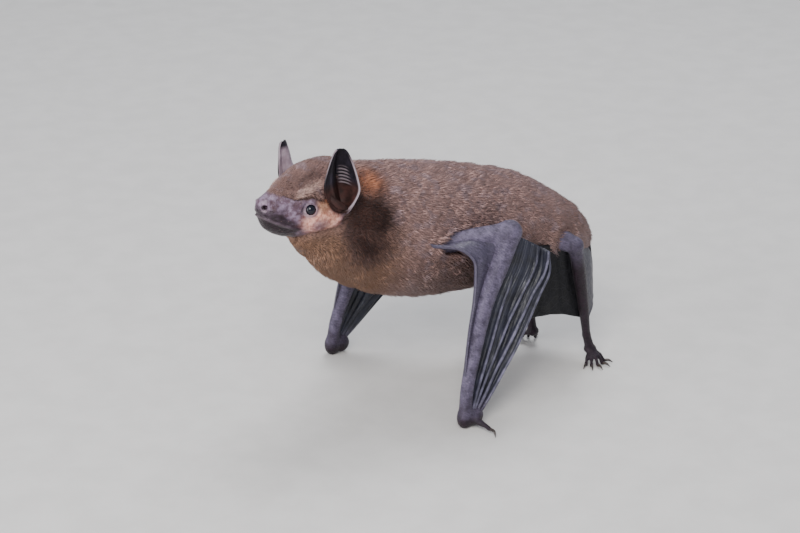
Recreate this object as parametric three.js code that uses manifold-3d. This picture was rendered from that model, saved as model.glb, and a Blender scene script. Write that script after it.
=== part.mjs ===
// A plain-faced insect-eating bat, life size, standing still on its folded wings and hind feet.
// Millimetres, +Z up. The bat faces -X; its left side is -Y and its right side is +Y.
// The origin is on the floor, under the middle of the model's box.
import * as THREE from 'three';
import { LoftGeometry } from 'three/addons/geometries/LoftGeometry.js';
import { mergeGeometries, mergeVertices } from 'three/addons/utils/BufferGeometryUtils.js';
import Module from 'manifold-3d';

const wasm = await Module();
wasm.setup();
const { Manifold, Mesh: SolidMesh } = wasm;

const { Vector3, CatmullRomCurve3 } = THREE;
const vec = (x, y, z) => new Vector3(x, y, z);
const mix = (a, b, t) => a + (b - a) * t;
const blend = (a, b, t) => a.clone().lerp(b, t);

// ---------------------------------------------------------------- driving dimensions
const GAP = 0.2;               // clear space between neighbouring solids
const SHIFT = vec(-3.6, 0, 0);  // from the left wrist's place to the middle of the model's box
const HEAD_TURN = 14 * Math.PI / 180; // the head looks a little to its left
const NOSE_TIP = vec(-41.6, -6, 54.7);
const NECK_X = -12;            // where the neck passes into the trunk
const WING_SKIN = 0.6;         // thickness of the wing and tail membranes
const EAR_SKIN = 0.6;
const EYE_RADIUS = 1.5;
const EYE_PLACE = vec(10.5, 4.9, -2);   // in the head's own frame, y outward
const RIGHT_ARM_LAG_LOW = -8.5; // the right wrist stands this far ahead of the left one
const RIGHT_ARM_LAG_HIGH = -9;  // and the right elbow this far
const RIGHT_FOOT_LAG = -7.5;    // and the right hind foot this far, from a level hip
const ARM_HEIGHT = 42;
const HIP_HEIGHT = 36;
const CLAW_RADIUS = 0.32;

// Body outline at the tips of the coat: x, y and z of the middle, half-height, half-width.
const BODY_STATIONS = [
  [-32.6, -3.7, 45.9, 1.7, 1.6], [-31.4, -3.3, 45.7, 4.2, 3.8], [-28.5, -2.7, 45.5, 7.1, 6.2],
  [-25, -1.9, 45.3, 10.3, 8.3], [-20.5, -0.8, 44.7, 13.2, 10.4], [-16, -0.2, 43.6, 14.7, 12.4],
  [-10, 0, 42, 15.7, 14.0], [-3, 0, 40.6, 16.1, 15.0], [7, 0, 39.3, 15.5, 15.1],
  [17, 0, 38.1, 14.3, 14.3], [27, 0, 36.7, 12.4, 12.5], [36, 0, 34.2, 9.5, 10.0],
  [42.5, 0, 32, 6.4, 6.8], [46, 0, 30.7, 3.2, 3.6], [47.3, 0, 30.3, 0.9, 1.0],
];

// Head outline in its own frame: x back from the nose tip, top, bottom, half-width, widest height.
const HEAD_STATIONS = [
  [0, 0.6, -1.5, 0.9, -0.6], [0.4, 1.3, -3.0, 1.7, -0.8], [1.1, 1.7, -5.0, 2.3, -1.2],
  [2.4, 2.3, -6.4, 2.9, -2.2], [5, 3.6, -8.0, 3.9, -3], [8, 5.2, -9.2, 5.3, -3],
  [11, 6.4, -10.0, 6.3, -3], [14, 6.9, -10.3, 7.1, -2.6], [18, 6.9, -10, 7.7, -2],
  [22, 6.0, -9.5, 7.7, -1.6], [25, 3.6, -6.5, 5.4, -1.4], [26.2, 0.8, -3, 2.2, -1.2],
];
// Side view of what the mouth parts off as the lower jaw (x, z), and of the nose pad.
const JAW_SIDE = [[-3, -2.7], [0.6, -2.7], [2.6, -3.5], [6, -5.2], [9.2, -6.4], [12.0, -9.2],
  [12.6, -14], [-3, -14]];
const NOSE_SIDE = [[-3, 3.4], [1.8, 3.4], [2.0, 0], [1.6, -1.7], [1.2, -2.4], [-3, -2.4]];

// Left ear margins in the head's frame, y outward, from the base to the tip.
const EAR_FRONT = [[16.9, 7.8, -2.4], [14.6, 7.4, -1.2], [12.8, 7.1, 1.6], [12.9, 7.2, 4.8],
  [14.2, 7.6, 8.4], [15.2, 8.3, 10.9]];
const EAR_BACK = [[17.6, 9, -3.8], [18.9, 10.2, -1.6], [20.1, 10.9, 2.2], [19.0, 10.1, 7.0],
  [16.6, 8.9, 11.0]];
const EAR_DEPTH = [1.4, 3.4, 4.2, 3.9, 2.2, 0.6];   // hollow of the ear from base to tip
const TRAGUS_PATH = [vec(14.9, 8.3, -0.6), vec(15.9, 9.0, -0.9), vec(17.0, 9.5, -1.4)];
const EAR_INWARD = vec(0.45, -0.89, 0);
const RIGHT_EAR_LEAN = vec(-1.6, 0.3, -2.2);  // how far the right ear's tip lies from the left's
const RIGHT_EAR_TURN = vec(-2.0, 1.7, 0);     // and how far its back margin is turned outward midway

// Left arm, from shoulder to wrist and the knuckles of the folded hand.
const SHOULDER = vec(-6, -9.5, 39.4);
const MID_ARM = vec(3, -14, 41.2);
const ELBOW = vec(14.6, -19, 42.9);
const FOREARM_PATH = [ELBOW, vec(11, -20.2, 36), vec(6.8, -21.6, 28.4), vec(3.3, -23.3, 18),
  vec(0.6, -24.7, 9), vec(-0.1, -25.4, 2.8)];
const FOREARM_RADII = [2.7, 2.5, 2.15, 1.7, 1.5, 1.5];
const ARM_EDGE = [vec(-9, -12.4, 43.2), vec(-3.4, -15, 41.4), vec(1.2, -18.6, 41), vec(3.9, -20.8, 38.6),
  vec(4.1, -21.6, 35), vec(3.3, -22.4, 29), vec(1.5, -23.4, 22.6), vec(0, -24.3, 16)];
const ARM_ROOT = [vec(-6, -11, 39.8), vec(2, -14.2, 41.2), vec(9, -17.2, 42.2), vec(11.6, -19.4, 40),
  vec(10.2, -20.2, 35), vec(6.8, -21.5, 28.4), vec(4.6, -22.6, 22), vec(2.8, -23.6, 15.6)];
const HAND_REAR_EDGE = [vec(3.6, -25.2, 3.4), vec(7.2, -24.5, 7.6), vec(10.7, -23.6, 12),
  vec(14.2, -22.7, 16.4), vec(17.8, -21.7, 21.8), vec(20.8, -20.9, 26.8), vec(23.9, -20, 31.6),
  vec(24.6, -19.5, 36.8)];
// Each finger's place across the folded hand (0 forearm, 1 rear edge) at the wrist and at the knuckles,
// its radius, and the share of the hand's length that it reaches.
const FINGERS = [
  { digit: 5, low: 0.3, high: 0.3, radius: 0.45, reach: 0.9 },
  { digit: 4, low: 0.55, high: 0.62, radius: 0.5, reach: 0.95 },
  { digit: 3, low: 0.78, high: 0.94, radius: 0.6, reach: 1 },
  { digit: 2, low: 0.98, high: 1.03, radius: 0.45, reach: 0.88 },
];
const FINGER_RISE = 1.35;   // the finger bones stand this far out from the membrane's middle
const PLEATS = 3;
const PLEAT_DEPTH = 0.3;
const THUMB_PATH = [vec(1.8, -26.4, 2.0), vec(2.6, -29.2, 1.7), vec(3.1, -31.2, 1.3)];
const THUMB_CLAW_PATH = [vec(3.1, -31.3, 1.3), vec(3.3, -32.6, 1.1), vec(3.1, -33.5, 0.3)];

// Left hind leg, tail and membranes.
const HIP = vec(29.3, -6, 36.3);
const KNEE = vec(36.7, -12, 33.2);
const ANKLE = vec(43.3, -8, 7.4);
const SOLE = vec(44.6, -7.8, 3.4);
const TOE_TIPS = [[40.6, -11.4], [42.1, -13.2], [44.4, -14.0], [47.0, -13.3], [49.0, -11.3]];
const TOE_SHARE = 0.6;        // share of each toe that is not claw
const NAIL_SET = 0.9;         // from the middle of a toe's end to the middle of its claw's root
const SIDE_MEMBRANE_FRONT = [vec(21.5, -16.4, 37), vec(17.5, -18, 30), vec(13, -19.8, 22),
  vec(9.6, -21.4, 15)];
const SIDE_MEMBRANE_REAR = [vec(36.6, -10.8, 32.6), vec(38.6, -9.8, 26), vec(40.6, -8.7, 18),
  vec(42, -7.9, 12)];
const SIDE_MEMBRANE_SAG = 1.6;
const TAIL_MEMBRANE_SIDE = [vec(39.6, -9.0, 30), vec(41.2, -8.4, 23), vec(42.4, -7.4, 16),
  vec(43.4, -6.6, 10)];
const TAIL_MEMBRANE_MIDDLE = [vec(44.6, 0, 34.5), vec(46.4, 0, 27), vec(47.4, 0, 20), vec(47.6, 0, 14.5)];
const TAIL_PATH = [vec(46.6, 0, 32.4), vec(47.9, 0, 27), vec(48.9, 0, 20), vec(49.1, 0, 14.6)];
const TAIL_RADII = [0.85, 0.7, 0.5];

const SKIN = {
  fur: { color: 0x6d5546, roughness: 0.9 }, face: { color: 0x5f5459, roughness: 0.7 },
  ear: { color: 0x3a3133, roughness: 0.65 }, wing: { color: 0x3b3743, roughness: 0.55 },
  web: { color: 0x1e2028, roughness: 0.5 }, eye: { color: 0x0b0c12, roughness: 0.08 },
  claw: { color: 0x241f1e, roughness: 0.35 },
};

// ---------------------------------------------------------------- shape helpers
function toSolid(geometry) {
  const bare = new THREE.BufferGeometry();
  bare.setAttribute('position', geometry.attributes.position);
  bare.setIndex(geometry.index);
  const merged = mergeVertices(bare, 1e-4);
  return new Manifold(new SolidMesh({
    numProp: 3,
    vertProperties: new Float32Array(merged.attributes.position.array),
    triVerts: new Uint32Array(merged.index.array),
  }));
}

// Skins closed rings of points into one capped solid; the rings' turning sense is set to suit.
function loftSolid(rings) {
  const solid = toSolid(new LoftGeometry(rings, { capStart: true, capEnd: true }));
  if (solid.volume() > 0) return solid;
  const turned = rings.map((ring) => ring.slice().reverse());
  return toSolid(new LoftGeometry(turned, { capStart: true, capEnd: true }));
}

// A ring in the plane of across and up, with its own reach above and below its middle.
function ovalRing(middle, across, up, wide, high, low, sides) {
  return Array.from({ length: sides }, (_, i) => {
    const angle = 2 * Math.PI * i / sides;
    const rise = Math.sin(angle) * (Math.sin(angle) > 0 ? high : low);
    return middle.clone().addScaledVector(across, wide * Math.cos(angle)).addScaledVector(up, rise);
  });
}

function valueAlong(values, t) {
  const place = t * (values.length - 1);
  const index = Math.min(Math.floor(place), values.length - 2);
  return mix(values[index], values[index + 1], place - index);
}

// A round limb along a smooth path, its radius read along the path, with rounded ends.
function limb(points, radii, { steps = 10, sides = 10, grow = 0 } = {}) {
  const curve = new CatmullRomCurve3(points);
  const rings = [];
  const span = points[points.length - 1].clone().sub(points[0]).normalize();
  const side = Math.abs(span.y) > 0.7 ? vec(1, 0, 0) : vec(0, 1, 0);
  const addRing = (t, out, scale) => {
    const tangent = curve.getTangent(t);
    const up = vec(0, 0, 0).crossVectors(tangent, side).normalize();
    const across = vec(0, 0, 0).crossVectors(up, tangent).normalize();
    const radius = valueAlong(radii, t) + grow;
    const middle = curve.getPoint(t).addScaledVector(tangent, out * radius);
    rings.push(ovalRing(middle, across, up, radius * scale, radius * scale, radius * scale, sides));
  };
  addRing(0, -0.8, 0.5);
  for (let i = 0; i <= steps; i += 1) addRing(i / steps, 0, 1);
  addRing(1, 0.8, 0.5);
  return loftSolid(rings);
}

// A tapering, curved claw that ends in a blunt point.
function claw(points, grow = 0) {
  return limb(points, [CLAW_RADIUS, CLAW_RADIUS * 0.85, CLAW_RADIUS * 0.4], { steps: 2, sides: 4, grow });
}

function egg(middle, radii, grow = 0, sides = 16) {
  const geometry = new THREE.SphereGeometry(1, sides, Math.round(sides * 0.7));
  geometry.rotateX(Math.PI / 2);
  geometry.scale(radii[0] + grow, radii[1] + grow, radii[2] + grow);
  geometry.translate(middle.x, middle.y, middle.z);
  return toSolid(geometry);
}

// A thin skin: rings run once over its front and back over its rear face, offset along the normal.
function thinSheet(surface, { rows, columns, thick }) {
  const step = 1e-3;
  const fronts = [];
  const rears = [];
  for (let i = 0; i <= rows; i += 1) {
    const front = [];
    const rear = [];
    for (let j = 0; j <= columns; j += 1) {
      const t = i / rows;
      const s = 2 * j / columns - 1;
      const alongT = surface(t + step, s).sub(surface(t - step, s));
      const alongS = surface(t, s + step).sub(surface(t, s - step));
      const normal = vec(0, 0, 0).crossVectors(alongT, alongS).normalize();
      front.push(surface(t, s).addScaledVector(normal, thick / 2));
      rear.push(surface(t, s).addScaledVector(normal, -thick / 2));
    }
    fronts.push(front);
    rears.push(rear);
  }
  const solid = toSolid(skinBetween(fronts, rears));
  return solid.volume() > 0 ? solid : toSolid(skinBetween(rears, fronts));
}

// Walls round matching front and rear rows of points, with a strip across each end.
function skinBetween(fronts, rears) {
  const rings = fronts.map((front, i) => front.concat(rears[i].slice().reverse()));
  return mergeGeometries([
    new LoftGeometry(rings),
    new LoftGeometry([rears[0], fronts[0]], { closed: false }),
    new LoftGeometry([fronts.at(-1), rears.at(-1)], { closed: false }),
  ]);
}

// A plate of a side-view outline, as wide as the head, used to part the head.
function sidePlate(outline) {
  const shape = new THREE.Shape(outline.map(([x, z]) => new THREE.Vector2(x, z)));
  const geometry = new THREE.ExtrudeGeometry(shape, { depth: 30, bevelEnabled: false });
  geometry.translate(0, 0, -15);
  geometry.rotateX(Math.PI / 2);
  placeInHead(geometry);
  return toSolid(geometry);
}

// The largest piece that is left of a solid once its neighbours' room is taken out.
function carve(solid, neighbours) {
  const rest = neighbours.reduce((left, neighbour) => left.subtract(neighbour), solid);
  const pieces = rest.decompose();
  return pieces.reduce((best, piece) => (piece.volume() > best.volume() ? piece : best));
}

const FLOOR = (() => {
  const block = new THREE.BoxGeometry(200, 200, 10);
  block.translate(0, 0, -5);
  return toSolid(block);
})();

// ---------------------------------------------------------------- frames and sides
function placeInHead(geometry) {
  geometry.rotateZ(HEAD_TURN);
  geometry.translate(NOSE_TIP.x, NOSE_TIP.y, NOSE_TIP.z);
}

function headPoint(point) {
  return point.clone().applyAxisAngle(vec(0, 0, 1), HEAD_TURN).add(NOSE_TIP);
}

// Left points as given, or mirrored to the right; the right arm also stands further forward.
const SIDES = [
  { name: 'left', outward: -1, limb: (p) => p.clone(), arm: (p) => p.clone() },
  {
    name: 'right',
    outward: 1,
    limb: (p) => vec(p.x + RIGHT_FOOT_LAG * (1 - p.z / HIP_HEIGHT), -p.y, p.z),
    arm: (p) => vec(p.x + mix(RIGHT_ARM_LAG_LOW, RIGHT_ARM_LAG_HIGH, p.z / ARM_HEIGHT), -p.y, p.z),
  },
];

// ---------------------------------------------------------------- head
function headLoft(grow = 0) {
  const across = vec(0, 1, 0).applyAxisAngle(vec(0, 0, 1), HEAD_TURN);
  return loftSolid(HEAD_STATIONS.map(([x, top, bottom, wide, widest]) => ovalRing(
    headPoint(vec(x, 0, widest)), across, vec(0, 0, 1),
    wide + grow, top - widest + grow, widest - bottom + grow, 20,
  )));
}

function eyeBall(side, grow = 0) {
  const middle = headPoint(vec(EYE_PLACE.x, side.outward * EYE_PLACE.y, EYE_PLACE.z));
  return egg(middle, [EYE_RADIUS, EYE_RADIUS, EYE_RADIUS], grow, 8);
}

function earMargin(points, side, turn) {
  return new CatmullRomCurve3(points.map(([x, y, z], i) => {
    const share = i / (points.length - 1);
    const point = vec(x, y, z);
    if (side.name === 'right') {
      point.addScaledVector(RIGHT_EAR_LEAN, share).addScaledVector(turn, Math.sin(Math.PI * share));
    }
    return vec(point.x, side.outward * point.y, point.z);
  }));
}

function earSolid(side, grow = 0) {
  const front = earMargin(EAR_FRONT, side, vec(0, 0, 0));
  const back = earMargin(EAR_BACK, side, RIGHT_EAR_TURN);
  const inward = vec(EAR_INWARD.x, side.outward * EAR_INWARD.y, 0);
  const surface = (t, s) => {
    const held = Math.min(Math.max(t, 0), 1);
    const point = blend(front.getPoint(held), back.getPoint(held), (1 + s) / 2);
    return headPoint(point.addScaledVector(inward, valueAlong(EAR_DEPTH, held) * (1 - s * s)));
  };
  return thinSheet(surface, { rows: 9, columns: 6, thick: EAR_SKIN + 2 * grow });
}

function tragus(side) {
  const path = TRAGUS_PATH;
  const placed = path.map((p) => headPoint(vec(p.x, side.outward * p.y, p.z)));
  return limb(placed, [0.5, 0.7, 0.45], { steps: 3, sides: 7 });
}

function earHollow(side) {
  return egg(headPoint(vec(16.5, side.outward * 9.4, 1.4)), [2.1, 2.6, 3.4], 0, 9);
}

// ---------------------------------------------------------------- neck, trunk and tail
function bodyLoft(grow = 0) {
  return loftSolid(BODY_STATIONS.map(([x, y, z, high, wide]) => ovalRing(
    vec(x, y, z), vec(0, 1, 0), vec(0, 0, 1), wide + grow, high + grow, high + grow, 22,
  )));
}

function halfSpace(fromX, toX) {
  const block = new THREE.BoxGeometry(toX - fromX, 100, 100);
  block.translate((fromX + toX) / 2, 0, 40);
  return toSolid(block);
}

function tail(grow = 0) {
  return limb(TAIL_PATH, TAIL_RADII, { steps: 4, sides: 6, grow });
}

function tailMembrane() {
  const left = new CatmullRomCurve3(TAIL_MEMBRANE_SIDE);
  const middle = new CatmullRomCurve3(TAIL_MEMBRANE_MIDDLE);
  const surface = (t, s) => {
    const height = Math.min(Math.max(t, 0), 1);
    const side = left.getPoint(height);
    const lag = s > 0 ? RIGHT_FOOT_LAG * (1 - side.z / HIP_HEIGHT) * s : 0;
    const rise = middle.getPoint(height).sub(vec(side.x, 0, side.z)).multiplyScalar(1 - s * s);
    return vec(side.x + lag, side.y * -s, side.z).add(rise);
  };
  return thinSheet(surface, { rows: 4, columns: 6, thick: WING_SKIN });
}

// ---------------------------------------------------------------- arms and folded hands
function upperArm(side, grow = 0) {
  return limb([SHOULDER, MID_ARM, ELBOW].map(side.arm), [2.0, 2.2, 2.5], { steps: 4, sides: 9, grow });
}

function forearm(side, grow = 0) {
  return limb(FOREARM_PATH.map(side.arm), FOREARM_RADII, { steps: 6, sides: 9, grow });
}

function wristPad(side, grow = 0) {
  const wrist = egg(side.arm(vec(-0.1, -25.6, 2.7)), [2.7, 2.1, 3.0], grow, 10);
  const knuckles = egg(side.arm(vec(2.2, -25.9, 3.1)), [2.0, 1.7, 2.7], grow, 8);
  return wrist.add(knuckles).subtract(FLOOR);
}

// The folded hand between the forearm (s = -1) and its rear edge (s = 1), from wrist to knuckles.
function handSurface(side) {
  const front = new CatmullRomCurve3(FOREARM_PATH.slice().reverse());
  const rear = new CatmullRomCurve3(HAND_REAR_EDGE);
  return (t, s) => {
    const held = Math.min(Math.max(t, 0), 1);
    return side.arm(blend(front.getPoint(held), rear.getPoint(held), (1 + s) / 2));
  };
}

function finger(side, { low, high, radius, reach }, grow = 0) {
  const surface = handSurface(side);
  const path = [0.06, 0.3, 0.55, 0.8, 1].map((t) => {
    const point = surface(t * reach, 2 * mix(low, high, t) - 1);
    return point.add(vec(0, side.outward * FINGER_RISE, 0));
  });
  return limb(path, [radius * 1.15, radius, radius * 0.9], { steps: 4, sides: 6, grow });
}

function handMembrane(side) {
  const surface = handSurface(side);
  const pleats = (t, s) => {
    const fold = Math.cos(Math.PI * PLEATS * (s + 1));
    const lift = side.outward * PLEAT_DEPTH * fold * Math.min(1, 3 * t);
    return surface(t * 0.93 + 0.03, s).add(vec(0, lift, 0));
  };
  return thinSheet(pleats, { rows: 3, columns: 4 * PLEATS, thick: WING_SKIN });
}

function armMembrane(side) {
  const edge = new CatmullRomCurve3(ARM_EDGE);
  const root = new CatmullRomCurve3(ARM_ROOT);
  const surface = (t, s) => {
    const held = Math.min(Math.max(t, 0), 1);
    return side.arm(blend(edge.getPoint(held), root.getPoint(held), (1 + s) / 2));
  };
  return thinSheet(surface, { rows: 9, columns: 3, thick: WING_SKIN });
}

function thumb(side, grow = 0) {
  return limb(THUMB_PATH.map(side.arm), [1.0, 0.62, 0.5], { steps: 3, sides: 7, grow });
}

// ---------------------------------------------------------------- hind legs
function thigh(side, grow = 0) {
  return limb([HIP, KNEE].map(side.limb), [4.2, 2.0], { steps: 2, sides: 8, grow });
}

function shin(side, grow = 0) {
  const path = [KNEE, blend(KNEE, ANKLE, 0.5).add(vec(0.3, 0, 0)), ANKLE].map(side.limb);
  return limb(path, [1.75, 1.45, 0.95], { steps: 5, sides: 8, grow });
}

function toePaths(side) {
  return TOE_TIPS.map(([x, y]) => {
    const tip = vec(x, y, 0.25);
    const root = blend(SOLE, vec(x, y, 2.6), 0.1);
    const knuckle = blend(SOLE, tip, 0.42).setZ(2.1);
    const toeEnd = blend(SOLE, tip, TOE_SHARE).setZ(0.4);
    const nail = tip.clone().sub(toeEnd).normalize().multiplyScalar(NAIL_SET).add(toeEnd);
    const nailTop = blend(nail, tip, 0.5).setZ(0.7);
    const place = (points) => points.map(side.limb);
    return { toe: place([root, knuckle, toeEnd]), nail: place([nail, nailTop, tip]) };
  });
}

function foot(side, grow = 0) {
  const instep = limb([ANKLE, SOLE].map(side.limb), [1.0, 1.15], { steps: 2, sides: 8, grow });
  const sole = egg(side.limb(SOLE), [1.6, 1.5, 1.2], grow, 8);
  const whole = toePaths(side).reduce(
    (joined, { toe }) => joined.add(limb(toe, [0.7, 0.52, 0.45], { steps: 2, sides: 5, grow })),
    instep.add(sole),
  );
  return whole.subtract(FLOOR);
}

function sideMembrane(side) {
  const front = new CatmullRomCurve3(SIDE_MEMBRANE_FRONT);
  const rear = new CatmullRomCurve3(SIDE_MEMBRANE_REAR);
  const surface = (t, s) => {
    const height = Math.min(Math.max(t * (1 - 0.2 * (1 - s * s)), 0), 1);
    const share = (1 + s) / 2;
    const point = blend(side.arm(front.getPoint(height)), side.limb(rear.getPoint(height)), share);
    return point.add(vec(0, -side.outward * SIDE_MEMBRANE_SAG * (1 - s * s), 0));
  };
  return thinSheet(surface, { rows: 4, columns: 5, thick: WING_SKIN });
}

// ---------------------------------------------------------------- assembly
const bat = new THREE.Group();
bat.name = 'bat';
bat.position.copy(SHIFT);

function addPart(name, solid, look) {
  const { vertProperties, triVerts } = solid.getMesh();
  const geometry = new THREE.BufferGeometry();
  geometry.setAttribute('position', new THREE.BufferAttribute(vertProperties, 3));
  geometry.setIndex(new THREE.BufferAttribute(triVerts, 1));
  geometry.computeVertexNormals();
  const mesh = new THREE.Mesh(geometry, new THREE.MeshStandardMaterial({ metalness: 0, ...look }));
  mesh.name = name;
  bat.add(mesh);
}

const headRoom = headLoft(GAP);
const bodyRoom = bodyLoft(GAP);

function addHead() {
  const jawPlate = sidePlate(JAW_SIDE);
  const nosePlate = sidePlate(NOSE_SIDE);
  const shrunk = (outline, way) => sidePlate(outline.map(([x, z]) => [x - GAP, z + way * GAP]));
  const whole = carve(headLoft(), [...SIDES.map((side) => eyeBall(side, GAP)), ...SIDES.map(earHollow)]);
  const clearOfJaw = whole.subtract(jawPlate);
  addPart('lower_jaw', carve(whole.intersect(shrunk(JAW_SIDE, -1)), []), SKIN.face);
  addPart('nose', carve(clearOfJaw.intersect(shrunk(NOSE_SIDE, 1)), []), SKIN.face);
  addPart('head', carve(clearOfJaw, [nosePlate]), SKIN.fur);
  for (const side of SIDES) {
    addPart(`eye_${side.name}`, eyeBall(side), SKIN.eye);
    addPart(`ear_${side.name}`, carve(earSolid(side), [headRoom, bodyRoom]), SKIN.ear);
    addPart(`tragus_${side.name}`, carve(tragus(side), [headRoom, earSolid(side, GAP)]), SKIN.face);
  }
}

function addBody() {
  addPart('neck', carve(bodyLoft(), [headRoom, halfSpace(NECK_X - GAP, 80)]), SKIN.fur);
  addPart('trunk', carve(bodyLoft(), [halfSpace(-80, NECK_X)]), SKIN.fur);
  const membrane = tailMembrane();
  const legRooms = SIDES.map((side) => shin(side, GAP));
  addPart('tail_membrane', carve(membrane, [bodyRoom, ...legRooms, tail(GAP)]), SKIN.wing);
  addPart('tail', carve(tail(), [bodyRoom]), SKIN.wing);
}

function addArm(side) {
  const part = (name, solid, look) => addPart(`${name}_${side.name}`, solid, look);
  const padRoom = wristPad(side, GAP);
  const foreRoom = forearm(side, GAP);
  const thumbClaw = THUMB_CLAW_PATH.map(side.arm);
  const bones = [upperArm(side, GAP), foreRoom, padRoom, bodyRoom];
  part('upper_arm', carve(upperArm(side), [bodyRoom, foreRoom]), SKIN.wing);
  part('forearm', carve(forearm(side), [bodyRoom, padRoom]), SKIN.wing);
  part('hand', wristPad(side), SKIN.wing);
  part('thumb', carve(thumb(side), [padRoom, claw(thumbClaw, GAP)]), SKIN.wing);
  part('thumb_claw', carve(claw(thumbClaw), [FLOOR]), SKIN.claw);
  const fingerRooms = [];
  for (const digit of FINGERS) {
    const bone = carve(finger(side, digit), [padRoom, foreRoom, bodyRoom, ...fingerRooms]);
    part(`finger_${digit.digit}`, bone, SKIN.wing);
    fingerRooms.push(finger(side, digit, GAP));
  }
  part('hand_membrane', carve(handMembrane(side), [...bones, ...fingerRooms]), SKIN.web);
  part('arm_membrane', carve(armMembrane(side), bones), SKIN.wing);
}

function addLeg(side) {
  const part = (name, solid, look) => addPart(`${name}_${side.name}`, solid, look);
  const shinRoom = shin(side, GAP);
  part('thigh', carve(thigh(side), [bodyRoom, shinRoom]), SKIN.wing);
  part('shin', carve(shin(side), [bodyRoom, foot(side, GAP)]), SKIN.wing);
  part('foot', foot(side), SKIN.wing);
  toePaths(side).forEach(({ nail }, i) => part(`toe_claw_${i + 1}`, carve(claw(nail), [FLOOR]), SKIN.claw));
  part('side_membrane', carve(sideMembrane(side), [shinRoom, thigh(side, GAP), bodyRoom]), SKIN.web);
}

addHead();
addBody();
for (const side of SIDES) {
  addArm(side);
  addLeg(side);
}

export default bat;
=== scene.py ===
"""A standing insect-eating bat: one skin, wing and tail membranes, ears, eyes, claws and a coat.

Shapes are worked out in millimetres in the bat's own measuring frame, whose origin is the left
wrist's place on the floor, and put into meshes in metres after SHIFT.
"""

import bpy
import numpy as np
from mathutils import Matrix, Vector


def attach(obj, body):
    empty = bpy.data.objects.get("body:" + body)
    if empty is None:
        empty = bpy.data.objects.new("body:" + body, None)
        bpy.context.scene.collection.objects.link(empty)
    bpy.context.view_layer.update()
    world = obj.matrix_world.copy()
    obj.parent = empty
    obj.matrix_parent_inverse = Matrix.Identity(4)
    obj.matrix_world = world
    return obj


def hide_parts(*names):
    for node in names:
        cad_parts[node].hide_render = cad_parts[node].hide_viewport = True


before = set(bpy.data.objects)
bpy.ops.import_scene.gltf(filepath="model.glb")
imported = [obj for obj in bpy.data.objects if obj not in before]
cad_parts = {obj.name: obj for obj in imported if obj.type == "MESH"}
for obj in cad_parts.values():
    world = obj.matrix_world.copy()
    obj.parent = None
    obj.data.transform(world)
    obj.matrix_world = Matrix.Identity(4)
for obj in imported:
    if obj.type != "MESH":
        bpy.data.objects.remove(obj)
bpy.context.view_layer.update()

MM = 0.001
SHIFT = np.array([-3.6, 0.0, 0.0])
RNG = np.random.default_rng(7)
SIDES = ("left", "right")
OUTWARD = {"left": -1, "right": 1}


# ------------------------------------------------------------------ driving dimensions, mm
HEAD_TURN = np.radians(14)
NOSE_TIP = np.array([-41.6, -6.0, 54.7])
HEAD_AXES = np.array([[np.cos(HEAD_TURN), np.sin(HEAD_TURN), 0],
                      [-np.sin(HEAD_TURN), np.cos(HEAD_TURN), 0], [0, 0, 1]])
# x, y, z of the middle, half-height, half-width, at the tips of the coat
BODY = np.array([
    [-32.6, -3.7, 45.9, 1.7, 1.6], [-31.4, -3.3, 45.7, 4.2, 3.8], [-28.5, -2.7, 45.5, 7.1, 6.2],
    [-25, -1.9, 45.3, 10.3, 8.3], [-20.5, -0.8, 44.7, 13.2, 10.4], [-16, -0.2, 43.6, 14.7, 12.4],
    [-10, 0, 42, 15.7, 14.0], [-3, 0, 40.6, 16.1, 15.0], [7, 0, 39.3, 15.5, 15.1],
    [17, 0, 38.1, 14.3, 14.3], [27, 0, 36.7, 12.4, 12.5], [36, 0, 34.2, 9.5, 10.0],
    [42.5, 0, 32, 6.4, 6.8], [46, 0, 30.7, 3.2, 3.6], [47.3, 0, 30.3, 0.9, 1.0]])
# x back from the nose tip, top, bottom, half-width, height of the widest level
HEAD = np.array([
    [0, 0.6, -1.5, 0.9, -0.6], [0.4, 1.3, -3.0, 1.7, -0.8], [1.1, 1.7, -5.0, 2.3, -1.2],
    [2.4, 2.3, -6.4, 2.9, -2.2], [5, 3.6, -8.0, 3.9, -3], [8, 5.2, -9.2, 5.3, -3],
    [11, 6.4, -10.0, 6.3, -3], [14, 6.9, -10.3, 7.1, -2.6], [18, 6.9, -10, 7.7, -2],
    [22, 6.0, -9.5, 7.7, -1.6], [25, 3.6, -6.5, 5.4, -1.4], [26.2, 0.8, -3, 2.2, -1.2]])
COAT_DEPTH = 1.5          # from the skin to the tips of the coat on the trunk
HEAD_COAT_DEPTH = 0.55    # the same on the crown of the head
MOUTH_Z = [-2.0, -2.35, -3.1, -4.05, -5.0, -5.8]   # height of the mouth from the nose to its corner
MOUTH_X = [0.5, 1.2, 2.4, 4.2, 6.2, 8.7]
LIP_X = [0, 3, 6, 9]      # places back, and how high above the mouth the upper lip is black there
LIP_HEIGHT = [1.9, 2.2, 1.7, 1.2]
# the bare face, in the head's frame: places back from the nose tip, its upper and lower border there
BARE_X = [1.8, 2.6, 3.6, 4.8, 6.1, 7.2, 10.2, 11.6, 12.6, 14.0, 16.0, 18.0]
BARE_TOP = [4.5, 2.5, 2.0, 1.55, 1.0, 0.55, 0.5, 0.1, -0.4, -0.9, -1.6, -2.4]
BARE_BOTTOM = [-12, -12, -12, -12, -11, -9.2, -7.6, -7.2, -7.1, -7.1, -7.0, -6.2]
BROW_X = [4.8, 6.0, 7.3, 8.7, 10.2, 11.5, 12.4]    # the dark brow line's places back and heights
BROW_Z = [1.7, 0.95, 0.65, 1.05, 1.15, 0.65, -0.2]
STRIPE_X = [6.5, 7.3, 9.6, 11.5, 12.7, 14]         # the cream stripe over the brow line
STRIPE_Z = [1.3, 1.8, 2.7, 3.2, 3.3, 3.2]
EYE_PLACE = np.array([10.5, 4.9, -2.0])
EYE_RADIUS = 1.5
EYE_AXIS = np.array([-0.42, 0.88, 0.2])
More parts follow.
